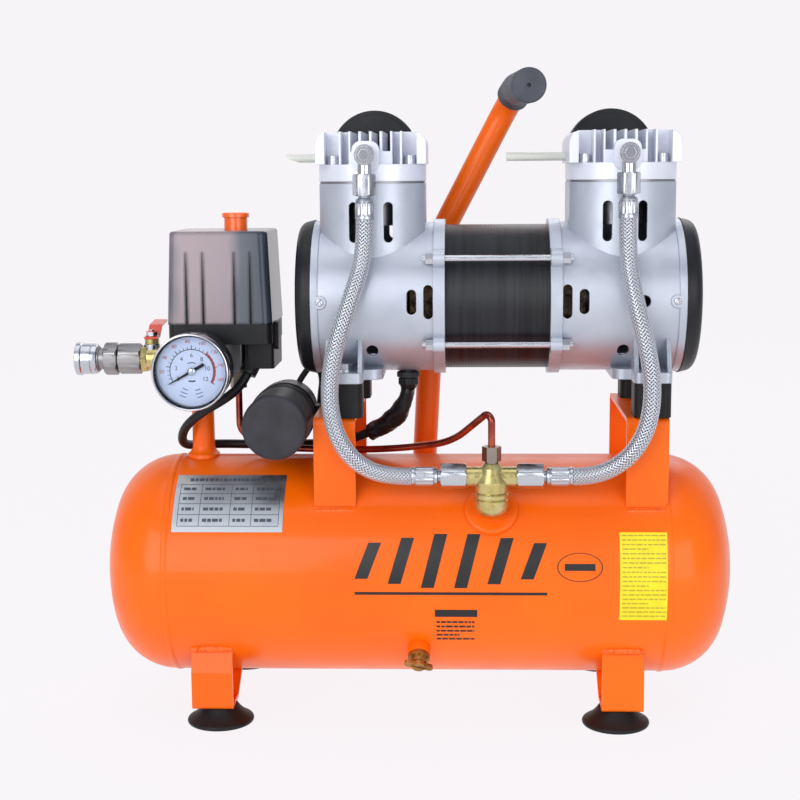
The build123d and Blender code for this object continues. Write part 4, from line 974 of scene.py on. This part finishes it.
def make_welds():
    seed = 20
    for index, bracket_x in enumerate((-53.9, 153.7)):
        for y_at in (-57.2, 63.2):
            z = TANK_Z + math.sqrt(TANK_R**2 - y_at**2) - 1.0
            ends = [mm(bracket_x - 13.5, y_at, z), mm(bracket_x + 13.5, y_at, z)]
            seed += 1
            mesh = weld_bead("bracket_weld", ends, 0.0017, seed)
            new_object(f"bracket_weld_{index}_{'front' if y_at < 0 else 'back'}", mesh, [WELD])
    for index, leg_x in enumerate((-139.0, 139.0)):
        for label, y_at in (("front", -60.6), ("rear", 62.8)):
            z = TANK_Z - math.sqrt(TANK_R**2 - y_at**2)
            ends = [mm(leg_x - 14.5, y_at, z), mm(leg_x + 14.5, y_at, z)]
            seed += 1
            mesh = weld_bead("leg_weld", ends, 0.0026, seed)
            new_object(f"leg_weld_{index}_{label}", mesh, [WELD])
    for hand, x in (("left", -170.1), ("right", 165.1)):
        ridge = [
            ("round", 0.0, 75.2), ("round", 0.4, 76.1), ("round", 1.4, 76.5), ("round", 2.5, 76.65),
            ("round", 3.6, 76.5), ("round", 4.6, 76.1), ("round", 5.0, 75.2), ("round", 0.0, 75.2),
        ]
        turned(f"tank_seam_{hand}", mm(x, 0, TANK_Z), (1, 0, 0), ridge, ORANGE, steps=180)
    for x, label in ((-6.5, "left"), (11.5, "right")):
        seed += 1
        points = [mm(x, 56, 151), mm(x, 62.6, 144), mm(x, 68, 134)]
        new_object(f"handle_weld_{label}", weld_bead("handle_weld", points, 0.0016, seed), [WELD])


# ------------------------------------------------------------------ gauge
DIAL_Y = -69.3              # front of the dial
PRINT = 0.05                # thickness of a print on the dial


def dial_point(radius, angle, lift):
    a = math.radians(angle)
    return mm(GAUGE_X + radius * math.cos(a), DIAL_Y - lift, LINE_Z + radius * math.sin(a))


def dial_patches(name, patches, material, lift=0.05):
    """Flat sectors on the dial: rows of (inner radius, outer radius, angle low, angle high)."""
    rows = []
    for inner, outer, a0, a1 in patches:
        steps = max(1, round(abs(a1 - a0) / 4))
        corners = ((inner, lift), (outer, lift), (outer, lift + PRINT), (inner, lift + PRINT))
        angles = [a0 + (a1 - a0) * k / steps for k in range(steps + 1)]
        rows.append([[dial_point(r, angle, height) for r, height in corners] for angle in angles])
    return new_object(name, strips(name, rows, flip=True), [material])


def dial_numbers(name, entries, size, material):
    """Numbers on the dial: rows of (text, radius, angle)."""
    joined = bmesh.new()
    for text, radius, angle in entries:
        data = bpy.data.curves.new("number", "FONT")
        data.body = text
        data.size = size
        data.align_x = "CENTER"
        data.align_y = "CENTER"
        data.extrude = 0.00003
        data.resolution_u = 3
        holder = bpy.data.objects.new("number", data)
        bpy.context.scene.collection.objects.link(holder)
        bpy.context.view_layer.update()
        evaluated = holder.evaluated_get(bpy.context.evaluated_depsgraph_get())
        mesh = bpy.data.meshes.new_from_object(evaluated)
        place = Matrix.Translation(dial_point(radius, angle, 0.08)) @ Matrix.Rotation(math.pi / 2, 4, "X")
        mesh.transform(place)
        joined.from_mesh(mesh)
        bpy.data.objects.remove(holder)
        bpy.data.meshes.remove(mesh)
    out = bpy.data.meshes.new(name)
    joined.to_mesh(out)
    joined.free()
    return new_object(name, out, [material])


def make_gauge_front():
    """Thin rim, dial and lens that reach almost to the case's edge."""
    rim = turned(
        "gauge_rim", mm(GAUGE_X, DIAL_Y + 2.0, LINE_Z), (0, -1, 0),
        [
            ("round", 0.0, 24.6), ("round", 0.0, 25.3), ("round", 1.0, 25.5), ("round", 9.2, 25.5),
            ("round", 10.2, 25.1), ("round", 10.4, 24.6), ("round", 10.0, 24.1), ("round", 8.6, 24.0),
            ("round", 8.6, 24.6), ("round", 0.0, 24.6),
        ],
        CHROME, steps=128,
    )
    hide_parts("gauge_bezel")
    face = turned(
        "gauge_face", mm(GAUGE_X, DIAL_Y + 0.8, LINE_Z), (0, -1, 0),
        [("round", 0.0, 24.5), ("round", 0.8, 24.5)], DIAL, steps=128,
    )
    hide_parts("gauge_dial")
    glass = turned(
        "gauge_window", mm(GAUGE_X, -76.4, LINE_Z), (0, -1, 0),
        [("round", 0.0, 24.3), ("round", 0.8, 24.3)], GLASS, steps=128,
    )
    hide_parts("gauge_lens")


def make_dial():
    zero = 209.4
    span = 240.0
    scale = []
    for k in range(25):
        angle = zero - span * k / 24
        outer = 17.0 if k % 4 == 0 else 16.2
        half = 0.9 if k % 4 == 0 else 0.6
        scale.append((14.4, outer, angle - half, angle + half))
    scale.append((14.1, 14.6, zero - span, zero))
    dial_patches("dial_scale", scale, INK)
    dial_patches("dial_red_band", [(14.7, 15.8, zero - span, zero - span * 8 / 12)], INK_RED, 0.12)
    inner = [(str(k), 10.3, zero - span * k / 12) for k in range(0, 13, 2)]
    dial_numbers("dial_numbers", inner, 0.0040, INK)
    outer = [(str(20 * k), 19.6, zero - span * k * 20 / 170) for k in range(1, 9)]
    dial_numbers("dial_outer_numbers", outer, 0.0032, INK_RED)
    dial_patches("dial_small_bars", [(5.4, 6.0, 62, 118), (6.2, 7.2, 250, 290)], INK_GREY)
    low_bars = []
    for middle in (249, 287):
        low_bars += [(12.4, 13.2, middle - 8, middle + 8), (15.0, 15.7, middle - 9, middle + 9)]
        low_bars += [(17.4, 18.1, middle - 7, middle + 7)]
    dial_patches("dial_blue_bars", low_bars, PALE_BLUE)
    hub = turned(
        "needle_hub", mm(GAUGE_X, -70.8, LINE_Z), (0, -1, 0),
        [("round", 0.0, 2.6), ("round", 0.3, 2.6), ("round", 0.8, 2.0), ("round", 1.0, 1.0)],
        CHROME, "gauge_needle", 40,
    )


def make_lever_nut():
    """Bright washer and nut that hold the lever, above its plate."""
    nut = turned(
        "lever_nut", mm(BALL_X, 0, 261.35), (0, 0, 1),
        [
            ("round", 0.0, 4.4), ("round", 0.6, 4.5), ("hex", 0.7, 3.7, 4.1), ("hex", 2.9, 3.7, 4.1),
            ("round", 3.3, 3.0), ("round", 3.35, 2.0), ("round", 4.6, 2.0), ("round", 4.6, 0.1),
        ],
        NICKEL, "valve_lever", 48,
    )
    collar = turned(
        "lever_collar", mm(BALL_X, 0, 251.0), (0, 0, 1),
        [
            ("round", 0.0, 5.05), ("round", 0.0, 5.6), ("round", 4.4, 5.6), ("round", 5.0, 5.2),
            ("round", 5.0, 5.05), ("round", 0.0, 5.05),
        ],
        NICKEL, "valve_lever", 48,
    )


# ------------------------------------------------------------------ casting details
def screw(name, origin, direction, radius, height):
    """Pan head with a round recess."""
    profile = [
        ("round", 0.0, radius), ("round", height * 0.45, radius),
        ("round", height * 0.8, radius * 0.86), ("round", height, radius * 0.55),
        ("round", height * 0.7, radius * 0.30), ("round", height * 0.68, 0.05),
    ]
    turned(name, origin, direction, profile, ZINC, steps=36)


LUG_R = 51.22                # from the pump's axis to a screw lug


def make_cover_rims():
    """Raised lips beside the fan covers, with screw lugs at the front, back and underside."""
    for sign, hand in ((-1, "left"), (1, "right")):
        x = PUMP_X + sign * 118.6
        start = mm(x, 0, PUMP_Z)
        profile = [
            ("round", 0.0, 50.6), ("round", 0.4, 52.0), ("round", 4.6, 52.4), ("round", 5.2, 52.4),
            ("round", 5.2, 48.0), ("round", 0.0, 48.0), ("round", 0.0, 50.6),
        ]
        rim = turned(f"cover_rim_{hand}", start, (sign, 0, 0), profile, ALUMINIUM, steps=128)
        for angle, label in ((180, "front"), (0, "back"), (262, "low_front"), (278, "low_back")):
            a = math.radians(angle)
            out = Vector((0, math.cos(a), math.sin(a)))
            lug_at = mm(PUMP_X + sign * 117.4, LUG_R * math.cos(a), PUMP_Z + LUG_R * math.sin(a))
            lug = turned(
                f"cover_lug_{hand}_{label}", lug_at - out * 0.003, out,
                [("round", 0.0, 5.0), ("round", 3.2, 4.6), ("round", 3.8, 4.0), ("round", 3.8, 0.1)],
                ALUMINIUM, steps=40,
            )
            screw(f"cover_screw_{hand}_{label}", lug_at + out * 0.0007, out, 2.5, 1.6)


def make_boot_rings():
    """Raised rings round the capacitor's boot."""
    for index, y in enumerate((-27.5, -21.0)):
        profile = [
            ("round", 0.0, 20.0), ("round", 0.0, 21.9), ("round", 0.6, 22.3), ("round", 2.2, 22.3),
            ("round", 2.8, 21.9), ("round", 2.8, 20.0), ("round", 0.0, 20.0),
        ]
        turned(f"boot_ring_{index}", mm(CAP_X, y, CAP_Z), (0, 1, 0), profile, BOOT, steps=96)


# ------------------------------------------------------------------ outlet line
def make_outlet():
    """Chamfered hexagons and a grooved sleeve in place of the plain CAD ones."""
    adapter = turned(
        "outlet_hex_adapter", mm(-192.8, 0, LINE_Z), (-1, 0, 0),
        [
            ("round", 0.0, 6.0), ("hex", 0.0, 9.5, 9.6), ("hex", 0.8, 9.5, 10.8), ("hex", 15.2, 9.5, 10.8),
            ("hex", 15.9, 9.5, 9.6), ("round", 16.0, 8.6), ("round", 16.5, 8.4), ("round", 16.5, 5.0),
        ],
        GREY_STEEL, steps=96,
    )
    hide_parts("outlet_adapter")
    body = turned(
        "coupler_nut_and_neck", mm(-209.4, 0, LINE_Z), (-1, 0, 0),
        [
            ("round", 0.0, 6.0), ("hex", 0.0, 10.3, 10.4), ("hex", 0.7, 10.3, 11.4), ("hex", 8.6, 10.3, 11.4),
            ("hex", 9.3, 10.3, 10.4), ("round", 9.4, 9.2), ("round", 9.8, 7.45), ("round", 28.6, 7.45),
            ("round", 28.8, 7.2), ("round", 28.8, 6.05), ("round", 12.0, 6.05), ("round", 12.0, 0.2),
        ],
        GREY_STEEL, steps=96,
    )
    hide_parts("coupler_body")
    steps_and_groove = [
        ("round", 0.0, 7.6), ("round", 0.0, 11.0), ("round", 0.5, 11.6), ("round", 3.6, 11.6),
        ("round", 4.2, 11.1), ("round", 4.4, 10.8), ("round", 10.6, 10.8), ("round", 10.8, 10.2),
        ("round", 11.4, 10.2),
        ("round", 11.6, 10.8), ("round", 13.8, 10.6), ("round", 14.8, 10.3), ("round", 15.2, 9.7),
        ("round", 15.2, 9.05), ("round", 7.9, 9.05), ("round", 7.9, 7.6), ("round", 0.0, 7.6),
    ]
    sleeve = turned(
        "coupler_release_sleeve", mm(COUPLER_TIP, 0, LINE_Z), (1, 0, 0), steps_and_groove,
        NICKEL, "coupler_sleeve", 96,
    )
    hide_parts("coupler_sleeve")


# ------------------------------------------------------------------ studio
def make_world():
    """Soft grey surroundings, a little darker overhead."""
    world = bpy.data.worlds.new("studio")
    bpy.context.scene.world = world
    world.use_nodes = True
    nodes = world.node_tree.nodes
    links = world.node_tree.links
    coordinates = nodes.new("ShaderNodeTexCoord")
    split = nodes.new("ShaderNodeSeparateXYZ")
    ramp = nodes.new("ShaderNodeValToRGB")
    elements = ramp.color_ramp.elements
    elements[0].position = 0.0
    elements[0].color = linear(176, 178, 188)
    elements[1].position = 0.75
    elements[1].color = linear(168, 171, 182)
    links.new(coordinates.outputs["Generated"], split.inputs["Vector"])
    links.new(split.outputs["Z"], ramp.inputs["Fac"])
    links.new(ramp.outputs["Color"], nodes["Background"].inputs["Color"])
    nodes["Background"].inputs["Strength"].default_value = 0.9


def make_studio():
    make_world()
    mesh = bpy.data.meshes.new("floor")
    depth = [(-6.0, 0.0), (2.2, 0.0)]
    depth += [(2.2 + 1.2 * math.sin(a), 1.2 - 1.2 * math.cos(a)) for a in (0.2, 0.5, 0.8, 1.1, 1.35, 1.57)]
    depth += [(3.4, 4.0)]
    vertices = [(x, y, z) for y, z in depth for x in (-6.0, 6.0)]
    faces = [(2 * k, 2 * k + 1, 2 * k + 3, 2 * k + 2) for k in range(len(depth) - 1)]
    mesh.from_pydata(vertices, [], faces)
    for polygon in mesh.polygons:
        polygon.use_smooth = True
    surface = Surface("studio_floor", linear(70, 69, 70), 0.95)
    surface.set("Emission Color", linear(248, 245, 248))
    surface.set("Emission Strength", 0.95)
    surface.set("Specular IOR Level", 0.0)
    mesh.materials.append(surface.material)
    floor = bpy.data.objects.new("floor", mesh)
    bpy.context.scene.collection.objects.link(floor)

    softboxes = (
        ("key", (-0.9, -1.9, 0.9), 1.5, 24.0),
        ("fill", (1.1, -1.8, 0.6), 1.3, 12.0),
        ("top", (0.0, -0.1, 1.9), 1.6, 9.0),
        ("back", (0.4, 1.7, 1.5), 1.3, 7.0),
    )
    for name, place, size, power in softboxes:
        data = bpy.data.lights.new(name, "AREA")
        data.shape = "SQUARE"
        data.size = size
        data.energy = power
        lamp = bpy.data.objects.new(name, data)
        bpy.context.scene.collection.objects.link(lamp)
        lamp.location = place
        aim = Vector((0, 0, 0.2)) - Vector(place)
        lamp.rotation_euler = aim.to_track_quat("-Z", "Y").to_euler()
    bpy.context.scene.view_settings.view_transform = "Standard"


make_hoses()
make_leads()
make_motor_gland()
make_plates()
make_generic_mark()
make_welds()
make_gauge_front()
make_dial()
make_lever_nut()
make_cover_rims()
make_boot_rings()
make_outlet()
make_studio()
